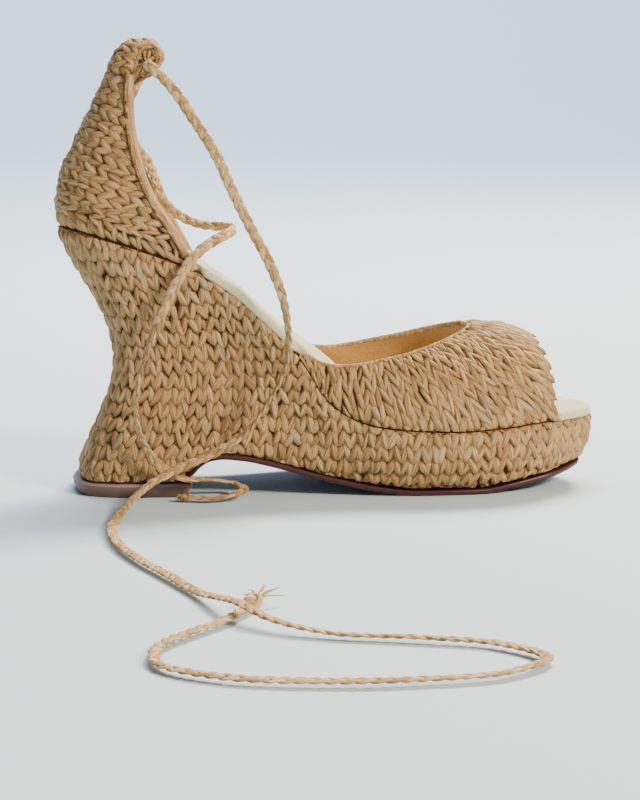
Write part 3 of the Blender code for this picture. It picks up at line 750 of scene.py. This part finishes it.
def vamp_stitches():
    """Places for the vamp's stitches: columns down the fan lines, an even pitch apart half way along, and
    rows at even distances from the throat, with a row to spare past the lower edge and the toe."""
    fine = np.linspace(*STITCH_EDGE, 801)
    start, gap = even_places(vamp_fan(fine, 0.5), fine, STITCH_PITCH)
    onward = np.linspace(0, 1, 101)
    run = [distances(line) for line in vamp_fan(start[:, None], onward[None, :])]
    full = np.array([line[-1] for line in run])
    distance = VAMP_FIRST_ROW + STITCH_ROW * np.arange(*VAMP_ROWS)[:, None]
    within = np.stack([np.interp(distance[:, 0], line, onward) for line in run], axis=1)
    past = np.maximum(distance - full, 0) / full + np.minimum(distance, 0) / full
    kept = (distance > -SPARE) & (distance < full + SPARE) & (full > VAMP_SHORTEST)
    return [np.broadcast_to(part, within.shape)[kept] for part in (start, within + past, gap)]


def vamp_fringe(start, onward):
    """The fan lines again, carried on past the toe's edge and flaring out from the form there."""
    on_form = np.minimum(onward, 1.0)
    edge = vamp_fan(start, on_form)
    tangent = (vamp_fan(start, 1.0) - vamp_fan(start, 1.0 - FRINGE_STEP)) / FRINGE_STEP
    past = (onward - on_form)[..., None] * tangent
    out = unit((edge - (VAMP_TOE_CREST, 0, TOP_LEVELS[-1, 1])) * (0, 1, 1))
    return edge + past + FRINGE_FLARE * np.linalg.norm(past, axis=-1, keepdims=True) * out


def add_edging(name, node, line, facing, half, seed, relief=1.0, wrap=EDGE_WRAP, sides=10, shade=1.0):
    """A raffia edging: an oval roll along a line with strands wrapped round it on a slant, each wrap a
    shallow swelling with its own tone and painted shade in the grooves between wraps; relief scales how much
    they show, and shade darkens them."""
    dice = np.random.default_rng(seed)
    run = distances(line)
    even = np.linspace(0, run[-1], max(int(run[-1] / EDGE_STEP), 8))
    line, facing = (at_distances(run, values, even) for values in (line, facing))
    turns = even[:, None] / wrap + np.arange(sides) / sides
    bulge = np.abs(np.sin(np.pi * turns))[..., None]
    sunk, swollen, power = WRAP_SWELL
    swell = 1 - relief * (sunk - swollen * bulge**power)
    points = between(line[:, None], rolled_edge(line, facing, *half, sides), swell)
    tone = np.clip(dice.normal(WRAP_TONE[0], WRAP_TONE[1] * relief, int(turns.max()) + 2), 0, 1)
    tint = between(RAFFIA_DARK, RAFFIA_PALE, tone[turns.astype(int)][..., None])
    # Painted shade: darker in the grooves between wraps
    tint = shade * between(tint, RAFFIA_PAINTED_SHADE, WRAP_DARK[0] * relief * (1 - bulge ** WRAP_DARK[1]))
    across = np.arange(sides) * WRAP_FIBRE
    wound = (across, turns * wrap, np.floor(turns)) if relief > 0.5 else (even[:, None], across, 0 * turns)
    fibre = np.stack(np.broadcast_arrays(*wound), axis=-1)
    return add_grid(name, points, raffia, "raffia", node, tint=tint, fibre=fibre)


# Suede: tan split leather, matt and mottled, with a short nap that is drawn coarser so that it shows
suede = add_material("tan suede", Roughness=0.95, Specular_IOR_Level=0.12, Sheen_Weight=0.25)
dress(suede, "#865420", "#D3A566", SUEDE_MOTTLE, SUEDE_NAP, strength=0.5, depth=0.4)

vamp_girth = np.linspace(0, np.pi, VAMP_GRID[0])[:, None]
vamp_onward = np.linspace(0, 1, VAMP_GRID[1])
vamp_grid = vamp_form(vamp_girth + 0 * vamp_onward, between(*throat_and_toe(vamp_girth), vamp_onward))
tuck = np.array([0.0, 0.0, TUCK])
# The lining faces inwards, so its columns run the other way
walls = (("ground", GROUND_DEPTH, ground_cloth, 1), ("lining", LINING_DEPTH, suede, -1))
for name, depth, material, way in walls:
    wall = set_back(vamp_grid, depth)
    wall = np.concatenate([wall[:1] - tuck, wall, wall[-1:] - tuck])[:, ::way]
    add_grid("vamp_" + name, wall, material, "raffia", "vamp", closed=False)
vamp_middle, vamp_facing = set_back(vamp_grid, EDGE_DEPTH), facing_of(vamp_grid)
for name, column, seed in (("vamp_throat_edge", 0, 51), ("vamp_toe_edge", -1, 52)):
    add_edging(name, "vamp", vamp_middle[:, column], vamp_facing[:, column], EDGE_HALF, seed)
fan_start, fan_onward, fan_gap = vamp_stitches()
fringe_start, fringe_first = np.unique(fan_start, return_index=True)
at_toe = np.abs(fringe_start - 0.5) < 0.5 - FAN_TOE / 180
fringe_start, fringe_gap = fringe_start[at_toe], fan_gap[fringe_first][at_toe]
fringe_line = vamp_fan(fringe_start, 1.0) - vamp_fan(fringe_start, 0.0)
fringe_onward = 1 - FRINGE_BACK / np.linalg.norm(fringe_line, axis=1)
vamp_leaf = {"lean": VAMP_LEAN, "slim": VAMP_SLIM}
add_stitches(
    "vamp_raffia",
    "vamp",
    stitches(vamp_fan, fan_start, fan_onward, fan_gap, STITCH_EDGE, -1.0, seed=23, **vamp_leaf),
    stitches(vamp_fringe, fringe_start, fringe_onward, fringe_gap, FRINGE_EDGE, -1.0, seed=24, **vamp_leaf),
)

# Heel counter
# The back upper: raffia fabric with its grain turned level, shaped round the heel, drawn in to a neck and
# folded forward over the tie into a tunnel. A rolled raffia binding is sewn along its front edges.

# Level sections from the seat up to the neck, then over the fold and down inside it
COUNTER = np.array([
    # back along, back height, front along, front height, half width
    (0.6, 113.3, 58, 95.4, 28.5), (-0.2, 121, 49.6, 112.5, 28.8), (1.4, 133.4, 41.8, 125.2, 27.2),
    (6.9, 146.4, 36.2, 139.5, 23.8), (13.2, 159.2, 33.4, 154, 19.2), (19.5, 171.4, 32.8, 168, 14.6),
    (23.2, 180.4, 33.6, 176, 13.2), (27.2, 187.4, 35, 182.4, 12.8), (33, 190.7, 37, 187, 12.4),
    (39.4, 191, 40, 189, 12), (44.6, 188.4, 43.2, 186.8, 11.6), (46.2, 183.4, 44.8, 183, 11.2),
    (44, 178.4, 43, 179, 10.8), (39, 174.2, 38.4, 175, 10.4), (33, 170.8, 32.6, 171.7, 10),
])
COUNTER_TOP = len(COUNTER) - 1
COUNTER_GRID = (97, 141)
COUNTER_BASE_ROWS = 1.2
COUNTER_ROUND_ROWS = (0.8, 4.0)
COUNTER_FIRST = 9.0
COUNTER_PITCH = 5.5
COUNTER_EDGE = (-0.996, 0.996)
SEAT_ROW = 3.2
SEAT_EDGE = (-0.9, -0.002)
NECK_ROW = 5.75
NECK_GAP = 3.6
HEAD_FIRST = 2.6
HEAD_REACH = 37.0
HEAD_PITCH = 4.6
BINDING_TOP = 6.0
BINDING_HALF = (1.95, 1.8)
BINDING_INSET = 0.7
BINDING_RELIEF = 0.22
SEAM_HALF = (0.42, 0.5)
SEAM_INSET = 1.1
SEAM_OUT = 1.55
SEAM_PITCH = 2.6
SEAM_SHADE = 0.55 * RAFFIA_DARK / RAFFIA_PALE
TUNNEL_ROW = 6.4
TUNNEL_PLEAT = 4.2
TUNNEL_PLEAT_DEPTH = 2.4
TUNNEL_DISH = 1.8
TUNNEL_ROWS = 8
# Painted shade on the gathers: its level, how much the pleats' hollows darken, and how much darker towards
# the tie
TUNNEL_PAINTED_SHADE = (0.75, 0.22, -0.25)
TUNNEL_FIBRE = (8.0, 3.0)
TUNNEL_SIDE = 2
TIE_MOUTH = (38.7, 181.8)


def counter_wall(around, row):
    """The counter's outside: around runs from the inner front edge (-1) by the back (0) to the outer front
    edge (1), and row climbs the table's sections. Each section is a heel curve at the seat that turns
    into a half circle at the neck."""
    around = np.clip(around, -1, 1)
    row = np.clip(row, 0, COUNTER_TOP)
    rows = np.arange(COUNTER_TOP + 1.0)
    back, back_up, front, front_up, half = (through(rows, column, row) for column in COUNTER.T)
    seat_back, seat_back_up, seat_front, seat_front_up, seat_half = COUNTER[0]
    forward = 1 - np.cos(np.pi / 2 * around)
    seat_along = between(seat_back, seat_front, forward)
    inner, outer = reach_at(seat_along - seat_back * (1 - forward))
    seat_shape = np.where(around < 0, inner, outer) * (1 - UPPER_SET_IN / seat_half) / seat_half
    shape = between(seat_shape, np.sin(np.pi / 2 * around), ease(row, *COUNTER_ROUND_ROWS))
    follow = level(TOP_LEVELS, 2, seat_along) + UPPER_GAP - between(seat_back_up, seat_front_up, forward)
    up = between(back_up, front_up, forward) + follow * (1 - ease(row, 0, COUNTER_BASE_ROWS))
    return np.stack([between(back, front, forward), half * shape, up], axis=-1)


def counter_climb(around):
    """Table rows up one line of the wall, the share of the climb from the seat to the neck at each, and
    the length of that climb."""
    rows = np.linspace(0, COUNTER_TOP, 701)
    climb = distances(counter_wall(around, rows))
    neck = np.interp(NECK_ROW, rows, climb)
    return rows, climb / neck, neck


climb_rows, back_climb, neck_height = counter_climb(0.0)
front_climb = counter_climb(1.0)[1]


def counter_level(share, around):
    """The same wall by level lines, which climb in even shares from the seat (0) to the neck (1) and on
    over the head, both at the back and at the front edges."""
    around = np.clip(around, -1, 1)
    back, front = (np.interp(share, climb, climb_rows) for climb in (back_climb, front_climb))
    return counter_wall(around, between(back, front, 1 - np.cos(np.pi / 2 * around)))


def counter_drop(around, drop):
    """The same wall again, by columns that run down to the seat at drop 0."""
    return counter_level(-drop, around)


def counter_stitches():
    """Places for the counter's stitches in level lines round the heel, up to the neck and over the head,
    with one to spare past each front edge; then the upright stitches along the seat."""
    around = np.linspace(-1, 1, 401)
    last = neck_height - NECK_GAP
    heights = np.linspace(COUNTER_FIRST, last, int(round((last - COUNTER_FIRST) / COUNTER_PITCH)) + 1)
    heights = np.r_[heights, np.arange(neck_height + HEAD_FIRST, neck_height + HEAD_REACH, HEAD_PITCH)]
    places = []
    for height in heights:
        share = height / neck_height
        spot, step = even_places(counter_level(share, around), around, STITCH_ROW)
        spot = np.r_[spot[0] - step[0], spot, spot[-1] + step[-1]]
        pitch = COUNTER_PITCH if height < neck_height else HEAD_PITCH
        places.append(np.stack(np.broadcast_arrays(share, spot, pitch / neck_height)))
    seat = SEAT_ROW / neck_height
    upright, gap = even_places(counter_level(seat, around), around, STITCH_PITCH)
    return np.concatenate(places, axis=1), (upright, np.full_like(upright, -seat), gap)


def tunnel_gathers(mouth, out):
    """The turned-in fabric drawn together round the tie: a shallow dish from the mouth's loop to the tie's
    place in the middle, with pleats that are deepest half way. Returns points and marks, whose tint is
    darkened by painted shade in the pleats' hollows and towards the tie."""
    share = np.linspace(0, 1, TUNNEL_ROWS)[:, None]
    run = distances(mouth)
    pleat = np.sin(2 * np.pi * run / TUNNEL_PLEAT)
    middle = np.array([TIE_MOUTH[0], mouth[:, 1].mean() + TUNNEL_DISH * out, TIE_MOUTH[1]])
    dish = between(mouth, middle, share[..., None])
    dish[..., 1] += out * TUNNEL_PLEAT_DEPTH * pleat * share * (1 - share)
    # Painted shade: darker in the pleats' hollows and towards the tie in the middle
    tone, by_pleat, by_share = TUNNEL_PAINTED_SHADE
    shade = np.clip(tone + by_pleat * pleat + by_share * share, 0, 1)[..., None]
    fibre = np.stack(np.broadcast_arrays(TUNNEL_FIBRE[0] * share, run, TUNNEL_FIBRE[1]), axis=-1)
    return dish, {"tint": between(RAFFIA_PAINTED_SHADE, RAFFIA_PALE, shade), "fibre": fibre}


counter_around = np.linspace(-1, 1, COUNTER_GRID[0])[:, None]
counter_rows = np.linspace(0, COUNTER_TOP, COUNTER_GRID[1])
counter_grid = counter_wall(counter_around + 0 * counter_rows, counter_rows + 0 * counter_around)
for name, depth, material, way in walls:
    wall = set_back(counter_grid, depth)
    wall = np.concatenate([wall[:, :1] - tuck, wall], axis=1)[:, ::way]
    add_grid("heel_counter_" + name, wall, material, "raffia", "heel_counter", closed=False)
counter_middle, counter_facing = set_back(counter_grid, EDGE_DEPTH), facing_of(counter_grid)
bound, mouth = (int(round(row / COUNTER_TOP * (COUNTER_GRID[1] - 1))) for row in (BINDING_TOP, TUNNEL_ROW))
for name, side, next_in, seed in (("inner", 0, 1, 61), ("outer", -1, -2, 63)):
    name = "heel_counter_binding_" + name
    edge, facing = counter_middle[side], counter_facing[side]
    inward = unit(counter_middle[next_in] - edge) * BINDING_HALF[0]
    line = (edge + inward * BINDING_INSET)[: bound + 1]
    front = facing[: bound + 1]
    add_edging(name, "heel_counter", line, front, BINDING_HALF, seed, BINDING_RELIEF)
    sewn = line + inward[: bound + 1] * SEAM_INSET + front * SEAM_OUT
    add_edging(name + "_seam", "heel_counter", sewn, front, SEAM_HALF, seed, 1.0, SEAM_PITCH, 6, SEAM_SHADE)
    add_edging(name + "_head", "heel_counter", edge[bound:], facing[bound:], EDGE_HALF, seed + 1)
add_edging("heel_counter_hem", "heel_counter", counter_middle[:, -1], counter_facing[:, -1], EDGE_HALF, 65)
counter_lined = set_back(counter_grid, LINING_DEPTH)
for name, side, out in (("inner", TUNNEL_SIDE, -1), ("outer", -1 - TUNNEL_SIDE, 1)):
    gathers, marks = tunnel_gathers(counter_lined[side, mouth:], out)
    faces = quads(*gathers.shape[:2], closed=True)[:, ::out]
    add_piece("heel_counter_tunnel_" + name, gathers, faces, raffia, "raffia", "heel_counter", **marks)
level_places, seat_places = counter_stitches()
add_stitches(
    "heel_counter_raffia",
    "heel_counter",
    stitches(counter_level, *level_places, COUNTER_EDGE, 1.0, seed=37),
    stitches(counter_drop, *seat_places, SEAT_EDGE, 1.0, seed=38),
)

# Tie
# One flat braid of three raffia strands, threaded through the counter's tunnel. Its near end runs down the
# inner side and lies in a loop on the floor; its far end comes over the insole to the heel's corner.

TIE_STRAND = (2.6, 0.95)
TIE_SWING = (1.0, 0.3)
TIE_PLAIT = 14.0
TIE_STEP = 0.8
TIE_SIDES = 8
TIE_STRANDS = 3
TIE_BRIDGE_HALF = 12.9
TIE_LIFTED = (4.0, 18.0)
TIE_SHADOW = 0.3
TIE_TONE = 0.5
TIE_TONE_SPREAD = 0.05
TIE_TONE_WAVES = [
    # strength, length, step from strand to strand
    (0.3, 23.0, 2.1), (0.25, 9.0, 1.0),
]
TIE_LOOKS = (0.12, 0.55)
TIE_LOOKS_OUT = 20.0
TIE_SWAY = (6.0, 27.0)
TIE_FIBRE_APART = 7.0
UP = np.array([0.0, 0.0, 1.0])
STRAW_DARK = linear("#B08650")
STRAW_PALE = linear("#E2BD85")

TIE_NEAR = np.array([
    # along, across, height
    (38.7, -12.9, 181.8), (38.9, -16.4, 181.4), (46.8, -20.6, 174.2), (58.4, -24.5, 157.6),
    (67.2, -30, 143), (73, -34, 129.8), (80.9, -37, 113.5), (87.2, -39.5, 101.4), (91.8, -41, 90),
    (94.6, -41.6, 77), (94.9, -41.6, 63.4), (92.4, -41, 53.7), (88.2, -40, 45.3), (82.4, -38.5, 35.8),
    (75, -37, 27.3), (66.7, -36.2, 22.2), (56.7, -36.4, 18), (47.5, -38, 14), (40, -42, 11.2),
    (33.3, -49, 7.8), (27.6, -58.5, 4.2), (24, -70, 2.3), (22, -88, 2.3), (22.8, -104, 2.3),
    (26, -122, 2.3), (32, -141, 2.3), (43, -168, 2.3), (54, -197, 2.6), (60.6, -214, 5.2),
    (66, -227, 6.8), (75.5, -240, 4.6), (94, -251, 2.3), (122, -259, 2.3), (149, -270, 2.3),
    (160, -286, 2.3), (147, -300, 2.3), (118, -306, 2.3), (86, -305, 2.3), (56, -297, 2.3),
    (38.5, -282, 2.3), (38, -263, 2.3), (49, -246, 2.3), (61, -231.5, 2.3), (69, -217, 2.3),
])

TIE_FAR = np.array([
    # along, across, height
    (38.7, 12.9, 181.8), (38.8, 16.4, 182.1), (40.6, 20.4, 183.8), (41.4, 24, 182.6), (39, 26.6, 178),
    (34, 27.2, 169.5), (30.4, 27.2, 159.5), (31, 27.8, 149.5), (35.2, 28.2, 143.4), (39.6, 25.4, 137),
    (42.8, 20.6, 128.6), (46, 17.6, 121.4), (52, 14.6, 115.6), (61, 11, 112), (70, 5, 111.4),
    (74.8, -5, 111.6), (72, -15.5, 110.6), (65.6, -24, 108.2), (59.6, -30.4, 104.9), (53.9, -33.6, 98.9),
    (49.9, -33.8, 92.6), (45.5, -32.6, 83.4), (40.4, -31.2, 72), (36, -30.4, 61.2), (33.3, -30, 51),
    (32, -30.2, 41), (32.8, -31, 31.6), (35.6, -31.6, 23.4), (39.6, -31.8, 17.2), (44.6, -31.6, 12.6),
    (51, -31.2, 9.6), (59, -27.8, 8.2), (67, -23.6, 6.6), (73.4, -22.8, 5.2), (76.8, -28, 4),
    (73.2, -34.6, 3), (65, -37.6, 2.3), (54.4, -36, 2.3),
])

# How far the slack braid has turned on its own line, from flat side out to edge-on
TIE_NEAR_TURN = np.array([
    # distance gone, degrees
    (0, 45), (5, 42), (13, 14), (40, 14), (95, 8), (122, 62), (150, 80), (172, 74), (190, 6), (240, 0),
])
TIE_FAR_TURN = np.array([
    # distance gone, degrees
    (0, 0), (30, -25), (55, -54), (85, -62), (107, -84), (124, -58), (150, 0), (188, 4), (207, 62),
    (238, 72), (256, 25), (275, 0),
])


def smooth_line(route, step):
    """Points at even steps on a smooth curve through a route, and the distance gone at each."""
    chord = distances(route)
    fine = np.linspace(0, chord[-1], 40 * len(route))
    line = cubic(chord, route, np.gradient(route, chord, axis=0), fine)
    run = distances(line)
    even = np.linspace(0, run[-1], int(run[-1] / step) + 1)
    return at_distances(run, line, even), even


def square_to(way, ahead):
    """Unit directions made square to a line: a way less its own share along the line."""
    return unit(way - np.sum(way * ahead, axis=1, keepdims=True) * ahead)


def joined(grids):
    """Points and faces of one mesh from several closed grids, each numbered on from the one before."""
    first = np.cumsum([0] + [grid.shape[0] * grid.shape[1] for grid in grids])
    faces = [quads(*grid.shape[:2], closed=True) + start for grid, start in zip(grids, first)]
    return np.concatenate([grid.reshape(-1, 3) for grid in grids]), np.concatenate(faces)


def braid(line, gone, flat_side, seed):
    """A flat plait of three oval strands: each swings from edge to edge once in a plait's length, and in
    and out twice, a third of a length behind the next."""
    dice = np.random.default_rng(seed)
    ahead = unit(np.gradient(line, axis=0))
    out = square_to(flat_side, ahead)
    beside = np.cross(out, ahead)
    round_it = np.linspace(0, 2 * np.pi, TIE_SIDES, endpoint=False)
    half_wide = TIE_STRAND[0] / 2 * np.cos(round_it)
    half_thick = TIE_STRAND[1] / 2 * np.sin(round_it)
    rings, tints, fibres = [], [], []
    for strand in range(TIE_STRANDS):
        swing = 2 * np.pi * (gone / TIE_PLAIT + strand / TIE_STRANDS)[:, None]
        core = line + TIE_SWING[0] * np.sin(swing) * beside + TIE_SWING[1] * np.sin(2 * swing) * out
        along = unit(np.gradient(core, axis=0))
        face = square_to(out, along)
        edge = np.cross(face, along)
        ring = core[:, None] + half_wide[:, None] * edge[:, None] + half_thick[:, None] * face[:, None]
        tone = TIE_TONE + dice.normal(0, TIE_TONE_SPREAD, len(gone))
        for strength, length, step in TIE_TONE_WAVES:
            tone += strength * np.sin(gone / length + strand * step)
        tone = np.clip(tone, 0, 1)[:, None]
        low = np.clip(-np.sin(2 * swing), 0, 1) * TIE_SHADOW
        tint = between(STRAW_DARK, STRAW_PALE, tone) * (1 - low)
        rings.append(ring)
        tints.append(np.broadcast_to(tint[:, None], ring.shape))
        wound = np.broadcast_arrays(gone[:, None], half_wide, TIE_FIBRE_APART * strand)
        fibres.append(np.stack(wound, axis=-1))
    return *joined(rings), {"tint": np.concatenate(tints), "fibre": np.concatenate(fibres)}


def tie_flat_side(line, gone, turn):
    """Which way the braid's flat side looks: out from the shoe where it hangs, up where it lies on the
    floor, then turned on the braid's own line by the table's degrees."""
    hanging = ease(line[:, 2:], *TIE_LIFTED)
    sideways = np.clip(line[:, 1] / TIE_LOOKS_OUT, -1, 1)
    out = np.stack(np.broadcast_arrays(TIE_LOOKS[0], sideways, TIE_LOOKS[1]), axis=1)
    side = between(UP, unit(out), hanging)
    ahead = unit(np.gradient(line, axis=0))
    degrees = np.interp(gone, turn[:, 0], turn[:, 1]) + TIE_SWAY[0] * np.sin(gone / TIE_SWAY[1])
    twist = np.radians(degrees)[:, None]
    return side * np.cos(twist) + np.cross(ahead, side) * np.sin(twist)


near_line, near_gone = smooth_line(TIE_NEAR, TIE_STEP)
far_line, far_gone = smooth_line(TIE_FAR, TIE_STEP)
bridge_route = np.array([(TIE_MOUTH[0], side * TIE_BRIDGE_HALF, TIE_MOUTH[1]) for side in (-1, 0, 1)])
bridge_line, bridge_gone = smooth_line(bridge_route, TIE_STEP)
for name, line, gone, turn, seed in (
    ("tie_near", near_line, near_gone, TIE_NEAR_TURN, 5),
    ("tie_far", far_line, far_gone, TIE_FAR_TURN, 6),
    ("tie_bridge", bridge_line, bridge_gone, TIE_NEAR_TURN[:1], 7),
):
    rings, faces, marks = braid(line, gone, tie_flat_side(line, gone, turn), seed)
    add_piece(name + "_braid", rings, faces, raffia, "tie", name, **marks)

# Knots
# A tight overhand knot stops each end of the tie; past it the strands fray into a short tuft.

KNOT_NEAR = (71.2, -212.7, 3.7)
KNOT_FAR = (51.9, -35.6, 2.4)
KNOT_REACH = (1.05, 0.85, 1.15)
KNOT_FAR_SIZE = 0.6
KNOT_STRAND = (1.5, 1.1)
TUFT_REACH = (1.0, 0.28)
TUFT_STRANDS = 9
TUFT_SPREAD = 0.33
TUFT_RISE = (-0.05, 0.5)
TUFT_LENGTH = (8.0, 13.0)
TUFT_CURVE = 1.6
TUFT_START = 2.0
TUFT_SAG = 2.0
TUFT_LOWEST = 0.5
TUFT_HALF = np.array([0.62, 0.62, 0.42])
TUFT_TAPER = (1.05, 0.75)
KNOT_TONE = (0.45, 0.25)
KNOT_FIBRE = (0.8, 0.4)


def knot_form(place, heading, size, tuft, seed):
    """A trefoil loop of oval strand for the knot, and a tuft of tapering strands that fan out past it."""
    dice = np.random.default_rng(seed)
    turn = np.linspace(0, 2 * np.pi, 97)
    trefoil = [np.sin(turn) + 2 * np.sin(2 * turn), np.cos(turn) - 2 * np.cos(2 * turn), -np.sin(3 * turn)]
    ahead = np.array([np.cos(heading), np.sin(heading), 0.0])
    beside = np.array([-ahead[1], ahead[0], 0.0])
    core = np.array(place) + np.stack(trefoil, axis=1) * KNOT_REACH * size @ np.stack([ahead, beside, UP])
    face = square_to(unit(core - place + 1e-3 * UP), unit(np.gradient(core, axis=0)))
    parts = [rolled_edge(core, face, KNOT_STRAND[0] * size, KNOT_STRAND[1] * size, TIE_SIDES)]
    part = np.linspace(0, 1, 13)[:, None]
    taper = (TUFT_TAPER[0] - TUFT_TAPER[1] * part[:, :, None]) * TUFT_HALF
    for _ in range(TUFT_STRANDS):
        spread = heading + dice.normal(0, TUFT_SPREAD)
        way = np.array([np.cos(spread), np.sin(spread), dice.uniform(*TUFT_RISE)])
        reach = dice.uniform(*TUFT_LENGTH) * tuft
        curve = np.array([-np.sin(spread), np.cos(spread), 0.0]) * dice.normal(0, TUFT_CURVE)
        line = place + (TUFT_START * size + reach * part) * way + curve * tuft * part**2
        line[:, 2] = np.maximum(line[:, 2] - TUFT_SAG * part[:, 0] ** 2, TUFT_LOWEST)
        strip = rolled_edge(line, np.tile(UP, (len(line), 1)), 1.0, 1.0, 6)
        parts.append(between(line[:, None], strip, taper))
    tints, fibres = [], []
    for rows, columns, _ in (part.shape for part in parts):
        tone = np.clip(dice.normal(*KNOT_TONE), 0, 1)
        tints.append(np.tile(between(STRAW_DARK, STRAW_PALE, tone), (rows * columns, 1)))
        gone, across = np.arange(rows)[:, None] * KNOT_FIBRE[0], np.arange(columns) * KNOT_FIBRE[1]
        fibres.append(np.stack(np.broadcast_arrays(gone, across, 0.0), axis=-1).reshape(-1, 3))
    return *joined(parts), {"tint": np.concatenate(tints), "fibre": np.concatenate(fibres)}


for name, place, line, size, tuft, seed in (
    ("tie_near_knot", KNOT_NEAR, near_line, 1.0, TUFT_REACH[0], 41),
    ("tie_far_knot", KNOT_FAR, far_line, KNOT_FAR_SIZE, TUFT_REACH[1], 43),
):
    heading = np.arctan2(line[-1, 1] - line[-4, 1], line[-1, 0] - line[-4, 0])
    points, faces, marks = knot_form(place, heading, size, tuft, seed)
    add_piece(name + "_tuft", points, faces, raffia, "tie", name, **marks)

# Floor and light
# A plain pale floor that sweeps up behind the shoe. A soft key light comes from the front right, a second
# one from behind lights the edges, a third lights the sweep, and an even pale surround fills the shadows.

FLOOR_HALF = 9.0
FLOOR_BACK = 2.2
SWEEP_RADIUS = 1.6
SWEEP_TOP = 6.0
SURROUND_STRENGTH = 0.42
LAMPS = [
    # name, place, aim, size, watts, colour
    ("key", (1.1, -1.1, 0.95), (0.0, -0.02, 0.08), 0.4, 46.0, "#FFF0DC"),
    ("rim", (0.55, 0.75, 1.25), (0.03, 0.0, 0.05), 0.5, 50.0, "#FFF0D4"),
    ("backdrop", (0.0, 1.4, 2.6), (0.0, 3.0, 0.3), 1.6, 170.0, "#E6F0FF"),
]

# Matt painted board: pale blue grey, no gloss
board = add_material("matt painted board", Base_Color=paint("#C9D8E2"), Roughness=0.85)
sweep_turn = np.linspace(0, np.pi / 2, 25)
sweep_far = np.r_[-FLOOR_HALF, FLOOR_BACK + SWEEP_RADIUS * np.sin(sweep_turn), FLOOR_BACK + SWEEP_RADIUS]
sweep_up = np.r_[0, SWEEP_RADIUS * (1 - np.cos(sweep_turn)), SWEEP_TOP]
sweep = np.stack(np.broadcast_arrays([[-FLOOR_HALF], [FLOOR_HALF]], sweep_far, sweep_up), axis=-1)
floor = add_mesh("floor", sweep, quads(*sweep.shape[:2])[:, ::-1], board)

surround = bpy.data.worlds.new("surround")
bpy.context.scene.world = surround
surround.use_nodes = True
surround.node_tree.nodes["Background"].inputs["Color"].default_value = paint("#DCE5EC")
surround.node_tree.nodes["Background"].inputs["Strength"].default_value = SURROUND_STRENGTH


def looking(place, aim):
    """Turn of a lamp at a place that points its axis at an aim, as Euler angles."""
    way = np.subtract(aim, place)
    flat = np.hypot(way[0], way[1])
    return (np.pi / 2 + np.arctan2(way[2], flat), 0.0, np.arctan2(-way[0], way[1]))


for name, place, aim, size, watts, code in LAMPS:
    lamp = bpy.data.lights.new(name, "AREA")
    lamp.shape = "DISK"
    lamp.size = size
    lamp.energy = watts
    lamp.color = linear(code)
    stand = add_object(name, lamp)
    stand.location = place
    stand.rotation_euler = looking(place, aim)

# Camera
# A little higher than the counter's head and about a metre from the inner side, looking down ten degrees.

CAMERA_PLACE = (-0.0793, -0.9763, 0.2038)
CAMERA_TURN = (80.298, 0.271, -4.531)
CAMERA_LENS = 103.5
CAMERA_SENSOR = 36.0
camera_data = bpy.data.cameras.new("camera")
camera_data.sensor_width = CAMERA_SENSOR
camera_data.lens = CAMERA_LENS
camera = add_object("camera", camera_data)
camera.location = CAMERA_PLACE
camera.rotation_euler = np.radians(CAMERA_TURN)
bpy.context.scene.camera = camera
